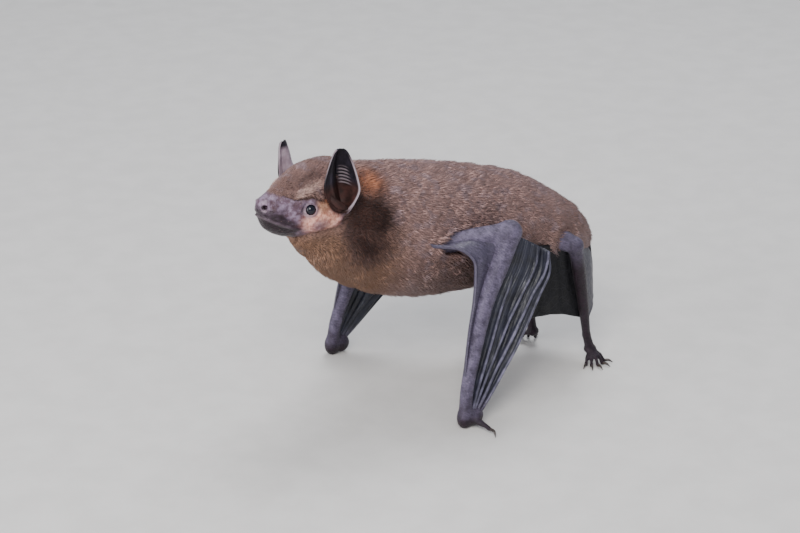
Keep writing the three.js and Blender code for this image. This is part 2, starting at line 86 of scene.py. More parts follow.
EYE_OPENING = 1.24        # radius of the opening between the lids
EYE_BULGE = 0.07          # how far the cornea stands out, as a share of the eyeball's radius
EAR_FRONT = [[16.9, 6.9, -2.9], [15.0, 7.3, -1.9], [13.5, 7.2, -0.1], [12.8, 7.0, 2.0], [12.9, 7.1, 4.2],
             [13.5, 7.4, 6.8], [14.2, 7.9, 9.4], [14.9, 8.2, 11.0], [15.8, 8.5, 11.7]]
EAR_BACK = [[17.7, 7.9, -4.1], [18.4, 9.2, -2.9], [19.4, 10.2, -0.8], [20.1, 10.8, 1.6], [19.8, 10.6, 4.2],
            [19.2, 10.2, 6.8], [18.5, 9.7, 9.1], [17.7, 9.3, 10.8], [16.8, 8.9, 11.6]]
EAR_DEPTH = [0.8, 2.2, 3.6, 4.3, 4.2, 3.4, 2.2, 1.0, 0.2]
EAR_FOLD = [-0.1, -0.2, -0.35, -0.48, -0.56, -0.62, -0.68, -0.74, -0.8]
EAR_INWARD = np.array([0.45, -0.89, 0.0])
EAR_HOLLOW, EAR_HOLLOW_RADII = np.array([17.0, 9.5, 0.9]), [3.0, 5.5, 4.9]
RIGHT_EAR_LEAN = np.array([-1.7, 0.3, -2.3])
RIGHT_EAR_TURN = np.array([-1.8, 1.6, 0.0])
RIGHT_EAR_TURNED = [0, 0.5, 0.65, 0.67, 0.67, 0.55, 0.47, 0.32, 0]   # how far, from base to tip
RIGHT_EAR_BOW = np.array([-0.9, 0.0, 0.0])
TRAGUS = np.array([[14.5, 7.3, 0.6], [15.0, 7.9, -0.4], [15.9, 8.6, -1.3], [17.0, 9.0, -2.0],
                   [17.9, 9.0, -2.6]])
TRAGUS_RADII = [0.4, 0.75, 0.85, 0.7, 0.25]
SHOULDER, MID_ARM, ELBOW = [-6, -9.5, 39.4], [3, -14, 41.2], [14.6, -19, 42.9]
UPPER_ARM_RADII = [2.0, 2.1, 2.35]
BARE_ARM = [[0, -12.8, 40.9], MID_ARM, ELBOW]      # where the upper arm comes out of the coat
BARE_ARM_RADII = [1.7, 2.3, 2.6]
FOREARM = [ELBOW, [11, -20.2, 36], [6.8, -21.6, 28.4], [3.3, -23.3, 18], [0.6, -24.7, 9],
           [-0.1, -25.4, 2.8]]
FOREARM_RADII = [2.7, 2.5, 2.15, 1.7, 1.5, 1.5]
WRIST_BALLS = (([-0.2, -25.4, 2.5], [1.95, 1.65, 2.6]), ([2.3, -25.5, 2.5], [2.1, 1.4, 2.3]))
ARM_EDGE = [[-9, -12.4, 43.2], [-3.4, -15, 41.4], [1.2, -18.6, 41], [3.9, -20.8, 38.6],
            [4.1, -21.6, 35], [3.3, -22.4, 29], [1.7, -23.3, 22.6], [0.5, -24.1, 16], [-0.5, -24.9, 9]]
ARM_ROOT = [[-6, -11, 39.8], [2, -14.2, 41.2], [9, -17.2, 42.2], [11.6, -19.4, 40],
            [10.2, -20.2, 35], [6.8, -21.5, 28.4], [4.6, -22.6, 22], [2.8, -23.6, 15.6], [1.2, -24.4, 9]]
HAND_REAR = [[3.6, -25.2, 3.4], [7.2, -24.5, 7.6], [10.7, -23.6, 12], [14.2, -22.7, 16.4],
             [17.8, -21.7, 21.8], [20.8, -20.9, 26.8], [23.9, -20, 31.6], [24.6, -19.5, 36.8]]
RIGHT_WRIST_LAG, RIGHT_ELBOW_LAG, ARM_HEIGHT = -8.5, -9.0, 42.0
RIGHT_FOOT_LAG, HIP_HEIGHT = -7.5, 36.0
HIP, KNEE, ANKLE, SOLE = [29.3, -6, 36.3], [36.7, -12, 33.2], [43.3, -8, 7.4], [44.6, -7.8, 3.4]
MID_SHIN = [40.2, -10, 20.3]
TOE_TIPS = [[40.6, -11.4], [42.1, -13.2], [44.4, -14.0], [47.0, -13.3], [49.0, -11.3]]
TOE_SHARE = 0.62          # of the way from the sole to the claw's tip that is toe
TOE_RADII = [0.62, 0.5, 0.42, 0.5, 0.42, 0.4, 0.46]
TOE_CLAW_RADII = [0.36, 0.3, 0.08]
THUMB = [[1.8, -26.4, 2.0], [2.6, -29.2, 1.7], [3.1, -31.2, 1.3]]
THUMB_RADII = [1.0, 0.62, 0.5]
THUMB_CLAW = [[3.1, -31.0, 1.3], [3.35, -32.6, 1.25], [3.1, -33.5, 0.25]]
THUMB_CLAW_RADII = [0.4, 0.32, 0.07]
TAIL = [[45.4, 0, 33.5], [47.9, 0, 27], [48.9, 0, 20], [49.1, 0, 14.6]]
TAIL_RADII = [1.2, 0.75, 0.5]
SIDE_FRONT = [[21.5, -16.4, 37], [17.5, -18, 30], [13, -19.8, 22], [9.6, -21.4, 15]]
SIDE_REAR = [[36.6, -10.8, 32.6], [38.6, -9.8, 26], [40.6, -8.7, 18], [42, -7.9, 12]]
TAIL_WEB_SIDE = [[37.6, -11.4, 31.8], [39.7, -10.1, 23], [41.4, -9.1, 16], [42.8, -8.2, 10]]
TAIL_WEB_MIDDLE = [[41.0, 0, 33.5], [47.2, 0, 27], [48.3, 0, 20], [48.6, 0, 14.5]]
WEB_THICK = 0.45


# ------------------------------------------------------------------ lines, frames and sides
def smoothstep(low, high, value):
    """0 below low, 1 above high, and 3u^2 - 2u^3 between."""
    u = np.clip((value - low) / (high - low), 0, 1)
    return u * u * (3 - 2 * u)


def smooth_line(points, t):
    """A Catmull-Rom line: on each step between two points, the cubic that leaves and arrives
    along the line between their neighbours. t runs 0 to 1 over equal steps."""
    p = np.asarray(points, float)
    if p.ndim == 1:
        p = p[:, None]
    steps = len(p) - 1
    place = np.clip(np.asarray(t, float), 0, 1) * steps
    i = np.minimum(place.astype(int), steps - 1)
    f = (place - i)[..., None]
    p = np.vstack([2 * p[0] - p[1], p, 2 * p[-1] - p[-2]])
    a, b, c, d = p[i], p[i + 1], p[i + 2], p[i + 3]
    return 0.5 * (2 * b + (c - a) * f + (2 * a - 5 * b + 4 * c - d) * f ** 2
                  + (3 * b - a - 3 * c + d) * f ** 3)


def smooth_table(x, at, values):
    """Cubic Hermite curve through values at places at, with central slopes."""
    slope = np.gradient(values, at)
    i = np.clip(np.searchsorted(at, x) - 1, 0, len(at) - 2)
    h = at[i + 1] - at[i]
    u = np.clip((x - at[i]) / h, 0, 1)
    return ((1 + 2 * u) * (1 - u) ** 2 * values[i] + u * (1 - u) ** 2 * h * slope[i]
            + u * u * (3 - 2 * u) * values[i + 1] + u * u * (u - 1) * h * slope[i + 1])


def to_head(p):
    """The bat's frame to the head's own: x back from the nose tip, y to the right, z up."""
    return (p - NOSE_TIP) @ HEAD_AXES.T


def from_head(p):
    """The head's own frame back to the bat's."""
    return np.asarray(p, float) @ HEAD_AXES + NOSE_TIP


def folded(q):
    """Places in the head's frame with its two halves laid on one another: x, |y| and z."""
    return np.stack([q[..., 0], np.abs(q[..., 1]), q[..., 2]], -1)


def arm_lag(height):
    """How far along x the right arm is from the left one's mirror image, by height; negative is
    forward."""
    return RIGHT_WRIST_LAG + (RIGHT_ELBOW_LAG - RIGHT_WRIST_LAG) * height / ARM_HEIGHT


def leg_lag(height):
    """The same for the right leg, which has stepped forward."""
    return RIGHT_FOOT_LAG * (1 - height / HIP_HEIGHT)


def limb_side(p, side, lag):
    """A left limb's points, or for the right one their mirror image moved by the lag."""
    p = np.asarray(p, float)
    if side == "left":
        return p
    return np.stack([p[..., 0] + lag(p[..., 2]), -p[..., 1], p[..., 2]], -1)


def arm_side(p, side):
    """A left arm's points set for the given side."""
    return limb_side(p, side, arm_lag)


def leg_side(p, side):
    """A left leg's points set for the given side."""
    return limb_side(p, side, leg_lag)


# ------------------------------------------------------------------ meshes
def make_piece(name, points, faces, look):
    """A smooth mesh object from points in mm and faces, an array of threes or fours."""
    points = np.asarray(points, np.float32)
    faces = np.asarray(faces, np.int32)
    mesh = bpy.data.meshes.new(name)
    sides = faces.shape[1]
    mesh.vertices.add(len(points))
    mesh.vertices.foreach_set("co", ((points + SHIFT) * MM).astype(np.float32).ravel())
    mesh.loops.add(faces.size)
    mesh.loops.foreach_set("vertex_index", faces.ravel())
    mesh.polygons.add(len(faces))
    mesh.polygons.foreach_set("loop_start", np.arange(0, faces.size, sides, dtype=np.int32))
    mesh.polygons.foreach_set("loop_total", np.full(len(faces), sides, np.int32))
    mesh.polygons.foreach_set("use_smooth", np.ones(len(faces), bool))
    mesh.update(calc_edges=True)
    mesh.materials.append(look)
    piece = bpy.data.objects.new(name, mesh)
    bpy.context.scene.collection.objects.link(piece)
    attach(piece, "root")
    return piece


def give(piece, name, values):
    """A colour attribute on the points: three masks from 0 to 1."""
    data = np.ones((len(values), 4), np.float32)
    data[:, :3] = values
    layer = piece.data.attributes.new(name, "FLOAT_COLOR", "POINT")
    layer.data.foreach_set("color", data.ravel())


def grid_faces(rows, columns, wrap=False):
    """Four-sided faces of a grid of points, closed round its columns if wrap."""
    i, j = np.meshgrid(np.arange(rows - 1), np.arange(columns if wrap else columns - 1), indexing="ij")
    k = (j + 1) % columns
    return np.stack([i * columns + j, i * columns + k, (i + 1) * columns + k, (i + 1) * columns + j],
                    -1).reshape(-1, 4)


def sheet_points(surface, thick, rows, columns, outward):
    """A skin of two faces: the surface moved half its thickness out and in along its normal, the
    thickness falling to nothing along a round edge. Returns points, faces, and (t, s, 1 on the outer
    face or 0 on the inner) of each."""
    t, s = np.meshgrid(np.linspace(0, 1, rows), np.linspace(-1, 1, columns), indexing="ij")
    middle = surface(t, s)
    normal = np.cross(np.gradient(middle, axis=0), np.gradient(middle, axis=1))
    normal /= np.linalg.norm(normal, axis=-1, keepdims=True) + 1e-9
    if (normal[rows // 2, columns // 2] * outward).sum() < 0:
        normal = -normal
    out, back = thick(t, s)
    front = middle + normal * out[..., None]
    rear = middle - normal * back[..., None]
    number = np.arange(rows * columns).reshape(rows, columns)
    edge = np.zeros((rows, columns), bool)
    edge[[0, -1], :] = True
    edge[:, [0, -1]] = True
    rear_number = number.copy()
    rear_number[~edge] = rows * columns + np.arange((~edge).sum())
    front[edge] = middle[edge]
    points = np.vstack([front.reshape(-1, 3), rear[~edge]])
    quads = grid_faces(rows, columns)
    wanted = np.cross(middle[1, 0] - middle[0, 0], middle[0, 1] - middle[0, 0])
    if (wanted * normal[0, 0]).sum() > 0:
        quads = quads[:, ::-1]
    faces = np.vstack([quads, rear_number.ravel()[quads][:, ::-1]])
    outer = np.stack([t, s, 1 + 0 * t], -1)
    inner = np.stack([t, s, 0 * t], -1)
    return points, faces, np.vstack([outer.reshape(-1, 3), inner[~edge]])


def round_edge(t, s, t_round, s_round):
    """1 on the sheet, falling to 0 at its edges as a quarter circle does."""
    def quarter(u):
        return np.sqrt(np.clip(1 - (1 - np.clip(u, 0, 1)) ** 2, 0, 1))
    return (quarter(t / t_round) * quarter((1 - t) / t_round)
            * quarter((1 + s) / s_round) * quarter((1 - s) / s_round))


def closed_rings(first, rings, last):
    """Rings of points joined by walls and closed by a fan of faces to a point at each end."""
    count, sides = rings.shape[:2]
    points = np.vstack([first, rings.reshape(-1, 3), last])
    walls = grid_faces(count, sides, wrap=True) + 1
    ring = np.arange(sides)
    following = (ring + 1) % sides
    last_ring = 1 + (count - 1) * sides
    start = np.stack([0 * ring, ring + 1, following + 1], 1)
    end = np.stack([0 * ring + len(points) - 1, last_ring + following, last_ring + ring], 1)
    return points, np.vstack([walls[:, [0, 1, 2]], walls[:, [0, 2, 3]], start[:, ::-1], end[:, ::-1]])


def tube_points(path, radii, rows, sides, flat):
    """Rings of a circle carried along a smooth path, its radius read along it, closed by a point
    at each end. flat squeezes the circle across the path's bend."""
    t = np.linspace(0, 1, rows)
    middle = smooth_line(path, t)
    radius = smooth_line(radii, t)[:, 0]
    along = np.gradient(middle, axis=0)
    along /= np.linalg.norm(along, axis=1, keepdims=True)
    side = np.cross(along, [0.3, 0.2, 0.93])
    side /= np.linalg.norm(side, axis=1, keepdims=True)
    up = np.cross(side, along)
    angle = 2 * np.pi * np.arange(sides) / sides
    round_way = (np.cos(angle)[None, :, None] * side[:, None] * flat
                 + np.sin(angle)[None, :, None] * up[:, None])
    rings = middle[:, None] + radius[:, None, None] * round_way
    return closed_rings(middle[:1], rings, middle[-1:])


def ball_points(middle, axis, radius, bulge, rows=40, sides=56):
    """An eyeball: a sphere about its axis with a lower, rounder cornea raised on its front."""
    axis = axis / np.linalg.norm(axis)
    side = np.cross(axis, [0, 0, 1.0])
    side /= np.linalg.norm(side)
    up = np.cross(side, axis)
    dip = np.linspace(0, np.pi, rows)[1:-1]
    angle = 2 * np.pi * np.arange(sides) / sides
    reach = radius * (1 + bulge * np.exp(-(dip / 0.55) ** 2))
    rings = (np.cos(dip)[:, None, None] * axis + np.sin(dip)[:, None, None] * (
        np.cos(angle)[None, :, None] * side + np.sin(angle)[None, :, None] * up)) * reach[:, None, None]
    points, faces = closed_rings([axis * radius * (1 + bulge)], rings, [-axis * radius])
    return points + middle, faces


def facing_out(points, faces):
    """The faces turned so that the closed shape they bound has a positive volume."""
    a, b, c = points[faces[:, 0]], points[faces[:, 1]], points[faces[:, 2]]
    volume = (a * np.cross(b, c)).sum()
    if faces.shape[1] == 4:
        volume += (a * np.cross(c, points[faces[:, 3]])).sum()
    return faces if volume > 0 else faces[:, ::-1]


# ------------------------------------------------------------------ the skin as a field of distances
def graded(*runs):
    """Places from run to run, each (end, step) evenly spaced, starting at the first number."""
    places = [np.array([runs[0]])]
    start = runs[0]
    for end, step in runs[1:]:
        count = int(np.ceil((end - start) / step))
        places.append(start + (end - start) * np.arange(1, count + 1) / count)
        start = end
    return np.concatenate(places).astype(np.float32)


class Clay:
    """Signed distances, about in mm and negative inside, on a rectilinear grid. Shapes are joined
    to it or cut from it block by block, with a fillet of the given softness."""

    def __init__(self, xs, ys, zs):
        self.places = (xs, ys, zs)
        self.field = np.full((len(xs), len(ys), len(zs)), 9.0, np.float32)

    def block(self, low, high):
        """The slices of the grid that hold the box from low to high, and their places."""
        cuts = [slice(max(np.searchsorted(a, l) - 1, 0), np.searchsorted(a, h) + 1)
                for a, l, h in zip(self.places, low, high)]
        x, y, z = np.meshgrid(*[a[c] for a, c in zip(self.places, cuts)], indexing="ij")
        return tuple(cuts), np.stack([x, y, z], -1)

    def work(self, shape, low, high, soft, cut=False):
        """Joins a shape inside the box from low to high to the clay, or cuts it away."""
        cuts, p = self.block(np.asarray(low) - soft - 1, np.asarray(high) + soft + 1)
        old, new = self.field[cuts], shape(p).astype(np.float32)
        if cut:
            old = -old
        h = np.maximum(soft - np.abs(old - new), 0) / max(soft, 1e-6)
        joined = np.minimum(old, new) - h * h * soft * 0.25
        self.field[cuts] = -joined if cut else joined


def ball(middle, radii):
    """Distance to an ellipsoid, by the usual ratio of its two scaled lengths."""
    radii = np.asarray(radii, float)

    def shape(p):
        q = p - middle
        far = np.linalg.norm(q / radii, axis=-1)
        return far * (far - 1) / (np.linalg.norm(q / radii ** 2, axis=-1) + 1e-6)
    return shape


def rod(points, radii):
    """Distance to a chain of cones with round ends; radii is one number or one for each point."""
    points = np.asarray(points, float)
    radii = np.zeros(len(points)) + radii

    def shape(p):
        best = np.full(p.shape[:-1], 99.0)
        for a, b, ra, rb in zip(points[:-1], points[1:], radii[:-1], radii[1:]):
            way = b - a
            u = np.clip(((p - a) @ way) / (way @ way), 0, 1)
            off = np.linalg.norm(p - a - u[..., None] * way, axis=-1)
            best = np.minimum(best, off - (ra + (rb - ra) * u))
        return best
    return shape


def oval(across, rise, wide, high, beyond):
    """Distance to an oval section, by the usual ratio of its two scaled lengths, and past the
    ends of the row of sections the distance beyond them if that is more."""
    a, b = across / wide, rise / high
    far = np.sqrt(a * a + b * b) + 1e-6
    inside = far * (far - 1) / (np.sqrt((a / wide) ** 2 + (b / high) ** 2) + 1e-6)
    return np.where(beyond > 0, np.maximum(inside, beyond), inside)


def body_distance(p):
    """Distance to the trunk and neck's oval sections at the coat's tips."""
    x = p[..., 0]
    y, z, high, wide = (smooth_table(x, BODY[:, 0], BODY[:, k]) for k in (1, 2, 3, 4))
    return oval(p[..., 1] - y, p[..., 2] - z, wide, high, np.maximum(BODY[0, 0] - x, x - BODY[-1, 0]))


def head_section(x, z):
    """The head's section at x back: its half-width, how far z is above the level where it is
    widest, and its half-height on that side of the level."""
    top, bottom, wide, widest = (smooth_table(x, HEAD[:, 0], HEAD[:, k]) for k in (1, 2, 3, 4))
    rise = z - widest
    return wide, rise, np.where(rise > 0, top - widest, widest - bottom)


def head_distance(q):
    """Distance to the head's oval sections at the coat's tips; q is in the head's frame."""
    x = q[..., 0]
    wide, rise, high = head_section(x, q[..., 2])
    return oval(q[..., 1], rise, wide, high, np.maximum(HEAD[0, 0] - x, x - HEAD[-1, 0]))


def head_side(x, z):
    """How far out from the midline the head's side is at x back and z up in its own frame."""
    wide, rise, high = head_section(x, z)
    return wide * np.sqrt(np.clip(1 - (rise / high) ** 2, 0, 1))


def trunk_coat(x):
    """The coat's depth on the trunk: none at the neck's front end, and less on the rump."""
    return COAT_DEPTH * smoothstep(-33, -26, x) * (1 - 0.35 * smoothstep(38, 46, x))


def head_coat(q):
    """The coat's depth on the head: hardly any behind the nose, growing to its full depth on
    the crown."""
    return HEAD_COAT_DEPTH * (0.15 + 0.85 * smoothstep(2.5, 10.5, q[..., 0])) * (1 - bare_share(q))


def bare_share(q):
    """Where the face is bare, from 0 to 1, in the head's frame: muzzle, jaw and cheek, under a line
    that falls from the bridge of the nose to the eye and runs back to the ear."""
    x, y, z = q[..., 0], np.abs(q[..., 1]), q[..., 2]
    above = np.interp(x, BARE_X, BARE_TOP)
    below = np.interp(x, BARE_X, BARE_BOTTOM)
    rows = smoothstep(0.9, -0.7, z - above) * smoothstep(-0.9, 0.9, z - below)
    underside = (1 - smoothstep(5.5, 8.5, x)) + smoothstep(5.5, 8.5, x) * smoothstep(1.2, 3.0, y)
    return np.clip(rows * underside * smoothstep(18.3, 16.6, x), 0, 1)


def toe_lines(side):
    """Each toe's and claw's line, from the sole over a low knuckle to the claw's tip."""
    sole = np.array(SOLE, float)
    lines = []
    for x, y in TOE_TIPS:
        tip = np.array([x, y, 0.25])
        root = sole + ([x, y, 2.6] - sole) * 0.1
        knuckle = sole + (tip - sole) * 0.42
        knuckle[2] = 2.1
        end = sole + (tip - sole) * TOE_SHARE
        end[2] = 0.5
        hump = (end + tip) / 2
        hump[2] = 0.75
        lines.append([leg_side(np.array(line), side) for line in ([root, knuckle, end], [end, hump, tip])])
    return lines


def on_head(x, z, out=0.0):
    """Points of the right half's side at places x back and z up, moved out by a little."""
    x, z = np.array(x), np.array(z)
    return np.stack([x, head_side(x, z) + out, z], 1)


def sculpt_mouth(work, side):
    """One side's nose pad, nostril and its rim, slot, mouth line, lips and the creases above."""
    work(ball(side([1.3, 0.95, -0.2]), [1.25, 1.0, 1.3]), side([1.3, 0.95, -0.2]), 1.5, 0.5)
    nostril = side([[0.1, 2.0, 0.0], [0.9, 1.6, 0.05], [1.9, 1.2, 0.1]])
    work(rod(nostril, [0.55, 0.45, 0.25]), side([0.6, 1.6, 0]), 1.7, 0.2, True)
    rim = side([[0.35, 1.0, 0.9], [0.95, 1.7, 0.75], [1.4, 2.05, 0.1], [1.1, 1.9, -0.6],
                [0.5, 1.4, -0.85]])
    work(rod(rim, [0.16, 0.22, 0.24, 0.22, 0.16]), side([0.9, 1.6, 0]), 1.9, 0.35)
    slot = side([[1.3, 2.2, -0.95], [2.6, 2.9, -1.55], [4.2, 3.5, -2.3]])
    work(rod(slot, [0.16, 0.22, 0.1]), side([2.7, 2.8, -1.6]), 2.6, 0.4, True)
    mouth = side(on_head(MOUTH_X, MOUTH_Z))
    work(rod(mouth, [0.2, 0.24, 0.27, 0.27, 0.24, 0.12]), side([4.6, 3.6, -4.0]), 6.5, 0.3, True)
    lower = mouth + side([0, -0.1, 0]) + [0, 0, -0.55]
    work(rod(lower, [0.26, 0.32, 0.38, 0.38, 0.34, 0.2]), side([4.6, 3.4, -4.6]), 6.5, 0.35)
    upper = mouth + side([0, -0.12, 0]) + [0, 0, 0.7]
    work(rod(upper, [0.26, 0.4, 0.52, 0.52, 0.42, 0.2]), side([4.6, 3.4, -3.4]), 6.5, 0.5)
    for rise, back, deep in ((1.3, 0.4, 0.13), (1.95, 1.3, 0.12), (2.7, 2.6, 0.11)):
        crease = mouth[2:] + [back, 0, rise]
        crease[:, 2] += [0.15, 0.0, 0.1, 0.35]
        crease = side(on_head(crease[:, 0], crease[:, 2]))
        work(rod(crease, deep), side([5, 3.4, -2.6]), 7.0, 0.35, True)


def sculpt_brow(work, side):
    """One side's brow groove and the roll over it, cheek, muzzle pad and the ear's root."""
    groove = side(on_head(BROW_X, BROW_Z, 0.15))
    work(rod(groove, [0.15, 0.28, 0.32, 0.34, 0.34, 0.3, 0.15]), side([9, 4.6, 0.9]), 5.5, 0.5, True)
    brow = (groove + side([0.1, -0.6, 0]) + [0, 0, 0.9])[1:]
    work(rod(brow, [0.12, 0.4, 0.5, 0.5, 0.45, 0.3]), side([9.4, 4.4, 1.8]), 5.5, 0.7)
    cheek = side([12.9, 5.3, -5.0])
    work(ball(cheek, [3.2, 1.9, 2.2]), cheek, 4.5, 1.4)
    muzzle_pad = side([3.9, 2.2, -1.2])
    work(ball(muzzle_pad, [2.4, 1.5, 1.7]), muzzle_pad, 3.5, 0.9)
    root = side([[17.9, 7.8, -3.9], [17.0, 7.3, -5.2], [15.3, 6.6, -6.4]])
    work(rod(root, [0.6, 0.6, 0.25]), side([16.6, 7.2, -5.2]), 3.0, 0.5)


def sculpt_eye(work, side):
    """One side's eye socket, the lids as a shell round the eyeball with a round opening, and the
    hollow inside the ear."""
    eye = side(EYE_PLACE)
    axis = side(EYE_AXIS / np.linalg.norm(EYE_AXIS))
    work(ball(eye + axis * 0.4, [2.05, 2.05, 1.85]), eye, 2.8, 0.6, True)

    def lids(q):
        off = q - eye
        depth = off @ axis
        around = np.linalg.norm(off - depth[..., None] * axis, axis=-1)
        shell = np.linalg.norm(off, axis=-1) - (EYE_RADIUS + 0.36)
        return np.maximum(shell, EYE_OPENING - around * (1 + 0.06 * (depth > 0)))
    work(lids, eye, 2.4, 0.35)
    hollow = side(EAR_HOLLOW)
    work(ball(hollow, EAR_HOLLOW_RADII), hollow, 5.0, 0.6, True)


def sculpt_face(clay):
    """All that is worked on the bare face, in the head's frame, both sides alike."""
    def work(shape, middle, reach, soft, cut=False):
        at = from_head(middle)
        clay.work(lambda p: shape(to_head(p)), at - reach, at + reach, soft, cut)

    for out in OUTWARD.values():
        def side(points):
            return np.asarray(points, float) * [1, out, 1]
        sculpt_mouth(work, side)
        sculpt_brow(work, side)
        sculpt_eye(work, side)


def clay_grid():
    """The grid: finest at the face, the feet and the wrists, and coarser on the trunk."""
    coarse = 1.0
    along = ((-23, 0.21), (-14, 0.42), (37, 0.54), (54, 0.42))
    across = ((-12, 0.37), (3.5, 0.28), (35, 0.37))
    upward = ((4, 0.34), (42, 0.44), (64, 0.245))
    return [graded(start, *[(end, step * coarse) for end, step in runs])
            for start, runs in ((-49, along), (-35, across), (-1, upward))]


def build_clay():
    """The whole bare animal: body and head drawn in by the coat's depth, and all its limbs."""
    clay = Clay(*clay_grid())

    def body(p):
        return body_distance(p) + trunk_coat(p[..., 0])

    def head(p):
        q = to_head(p)
        return head_distance(q) + head_coat(q)

    def limb(points, radii, soft, count=13):
        t = np.linspace(0, 1, count)
        line, radius = smooth_line(points, t), smooth_line(radii, t)[:, 0]
        reach = max(radius.max(), 1)
        clay.work(rod(line, radius), line.min(0) - reach, line.max(0) + reach, soft)

    def knob(at, radii, reach, soft):
        clay.work(ball(at, radii), at - reach, at + reach, soft)

    clay.work(body, [-34, -16, 22], [49, 16, 58], 0.5)
    clay.work(head, [-43, -17, 43], [-13, 11, 63], 2.2)
    sculpt_face(clay)
    for side in SIDES:
        limb(arm_side([SHOULDER, MID_ARM, ELBOW], side), UPPER_ARM_RADII, 1.5)
        limb(arm_side(FOREARM, side), FOREARM_RADII, 1.2)
        for middle, radii in WRIST_BALLS:
            knob(arm_side(middle, side), radii, 3, 0.7)
        limb(arm_side(THUMB, side), THUMB_RADII, 0.6)
        limb(leg_side([HIP, KNEE], side), [4.0, 1.9], 1.5)
        limb(leg_side([KNEE, MID_SHIN, ANKLE], side), [1.75, 1.45, 0.95], 0.8)
        limb(leg_side([ANKLE, SOLE], side), [1.0, 1.15], 0.5)
        knob(leg_side(SOLE, side), [1.6, 1.4, 1.1], 2, 0.5)
        for toe, _ in toe_lines(side):
            limb(toe, TOE_RADII, 0.35, 7)
    limb(TAIL, TAIL_RADII, 0.8, 9)
    clay.work(lambda p: p[..., 2], [-49, -35, -1], [54, 35, 0.5], 0.0, True)   # flat on the floor
    return clay


def skin_over(clay):
    """Surface nets: a point in each cell that the surface passes through, at the mean of its edges'
    crossings, and a four-sided face round each grid edge that the surface crosses."""
    field = clay.field
    inside = field < 0
    shape = np.array(field.shape) - 1
    corners = [(a, b, c) for a in (0, 1) for b in (0, 1) for c in (0, 1)]

    def corner(array, offset):
        return array[tuple(slice(first, first + size) for first, size in zip(offset, shape))]
    count = sum(corner(inside, c).astype(np.int8) for c in corners)
    cells = np.argwhere((count > 0) & (count < 8))
    number = np.full(shape, -1, np.int32)
    number[tuple(cells.T)] = np.arange(len(cells))
    values = {c: field[tuple((cells + c).T)] for c in corners}
    total = np.zeros((len(cells), 3))
    hits = np.zeros(len(cells))
    for axis in range(3):
        for c in corners:
            if c[axis] == 1:
                continue
            d = tuple(1 if k == axis else c[k] for k in range(3))
            a, b = values[c], values[d]
            crossed = (a < 0) != (b < 0)
            place = np.tile(np.array(c, float), (len(cells), 1))
            place[:, axis] = np.where(crossed, a / np.where(crossed, a - b, 1), 0)
            total += place * crossed[:, None]
            hits += crossed
    place = cells + total / hits[:, None]
    points = np.stack([np.interp(place[:, k], np.arange(len(a)), a)
                       for k, a in enumerate(clay.places)], 1)
    faces = []
    step = np.eye(3, dtype=int)
    for axis in range(3):
        u, v = (axis + 1) % 3, (axis + 2) % 3
        near = np.moveaxis(inside, axis, 0)
        edges = np.argwhere(near[:-1] != near[1:])
        edges = np.insert(edges[:, 1:], axis, edges[:, 0], axis=1)
        edges = edges[(edges[:, [u, v]] > 0).all(1) & (edges[:, [u, v]] < shape[[u, v]]).all(1)]
        ring = [edges - step[u] - step[v], edges - step[v], edges, edges - step[u]]
        quads = np.stack([number[tuple(r.T)] for r in ring], 1)
        leaving = inside[tuple(edges.T)]
        quads[~leaving] = quads[~leaving][:, ::-1]
        faces.append(quads)
    return points, np.vstack(faces)


def sum_at_points(faces, values, count):
    """At each of count points, the sum of the values of the faces round it."""
    return np.stack([np.bincount(faces.ravel(), np.repeat(values[:, k], faces.shape[1]), count)
                     for k in range(3)], 1)


def relax(points, faces, rounds, strength):
    """Moves each point towards the mean of its faces' middles, then a little back out."""
    weight = np.bincount(faces.ravel(), minlength=len(points))[:, None]
    for step in range(2 * rounds):
        amount = strength if step % 2 == 0 else -strength * 1.03
        mean = sum_at_points(faces, points[faces].mean(1), len(points)) / weight
        points = points + amount * (mean - points)
    return points


def point_normals(points, faces):
    """The mean of the facing of the four-sided faces round each point."""
    facing = np.cross(points[faces[:, 2]] - points[faces[:, 0]],
                      points[faces[:, 3]] - points[faces[:, 1]])
    total = sum_at_points(faces, facing, len(points))
    return total / (np.linalg.norm(total, axis=1, keepdims=True) + 1e-9)


# ------------------------------------------------------------------ markings, shared by skin and coat
def bare_arm(p):
    """1 on either upper arm where it stands out of the coat, and 0 a little way off it."""
    lag = np.where(p[..., 1] > 0, arm_lag(p[..., 2]), 0)
    left = np.stack([p[..., 0] - lag, -np.abs(p[..., 1]), p[..., 2]], -1)
    return smoothstep(1.1, 0.3, rod(BARE_ARM, BARE_ARM_RADII)(left))


def patch(q, middle, radii, edge=0.35):
    """1 inside an ellipsoid, falling to 0 outside it over a share of its size."""
    far = np.linalg.norm((q - middle) / np.asarray(radii, float), axis=-1)
    return 1 - smoothstep(1 - edge, 1 + edge, far)


def wander(p, scale, seed):
    """Smooth unevenness from -1 to 1: a sum of sine waves in slanting directions."""
    rng = np.random.default_rng(seed)
    total = np.zeros(p.shape[:-1])
    for k in range(7):
        way = rng.normal(size=3)
        way *= 2 * np.pi / (scale * (0.6 + 0.25 * k) * np.linalg.norm(way))
        total += np.sin(p @ way + rng.uniform(0, 6.28))
    return total / 3.5


def head_share(p):
    """1 on the head and 0 on the body, meeting behind the ears."""
    q = to_head(p)
    back = q[..., 0] - 0.5 * np.minimum(q[..., 2] + 4, 0)
    return smoothstep(25.5, 19.5, back) * smoothstep(-13, -9, q[..., 2])


def coat_depth(p):
    """From the skin to the tips of the coat, less where a limb leaves the trunk."""
    off_trunk = smoothstep(0.25, 1.4, body_distance(p) + COAT_DEPTH)
    share = head_share(p)
    return (trunk_coat(p[..., 0]) * (1 - 0.75 * off_trunk) * (1 - share)
            + head_coat(to_head(p)) * share)


def ear_hollow(at, more, edge):
    """1 in the hollow inside either ear; at is folded, more is added to the hollow's radii."""
    return patch(at, EAR_HOLLOW, np.array(EAR_HOLLOW_RADII) + more, edge)


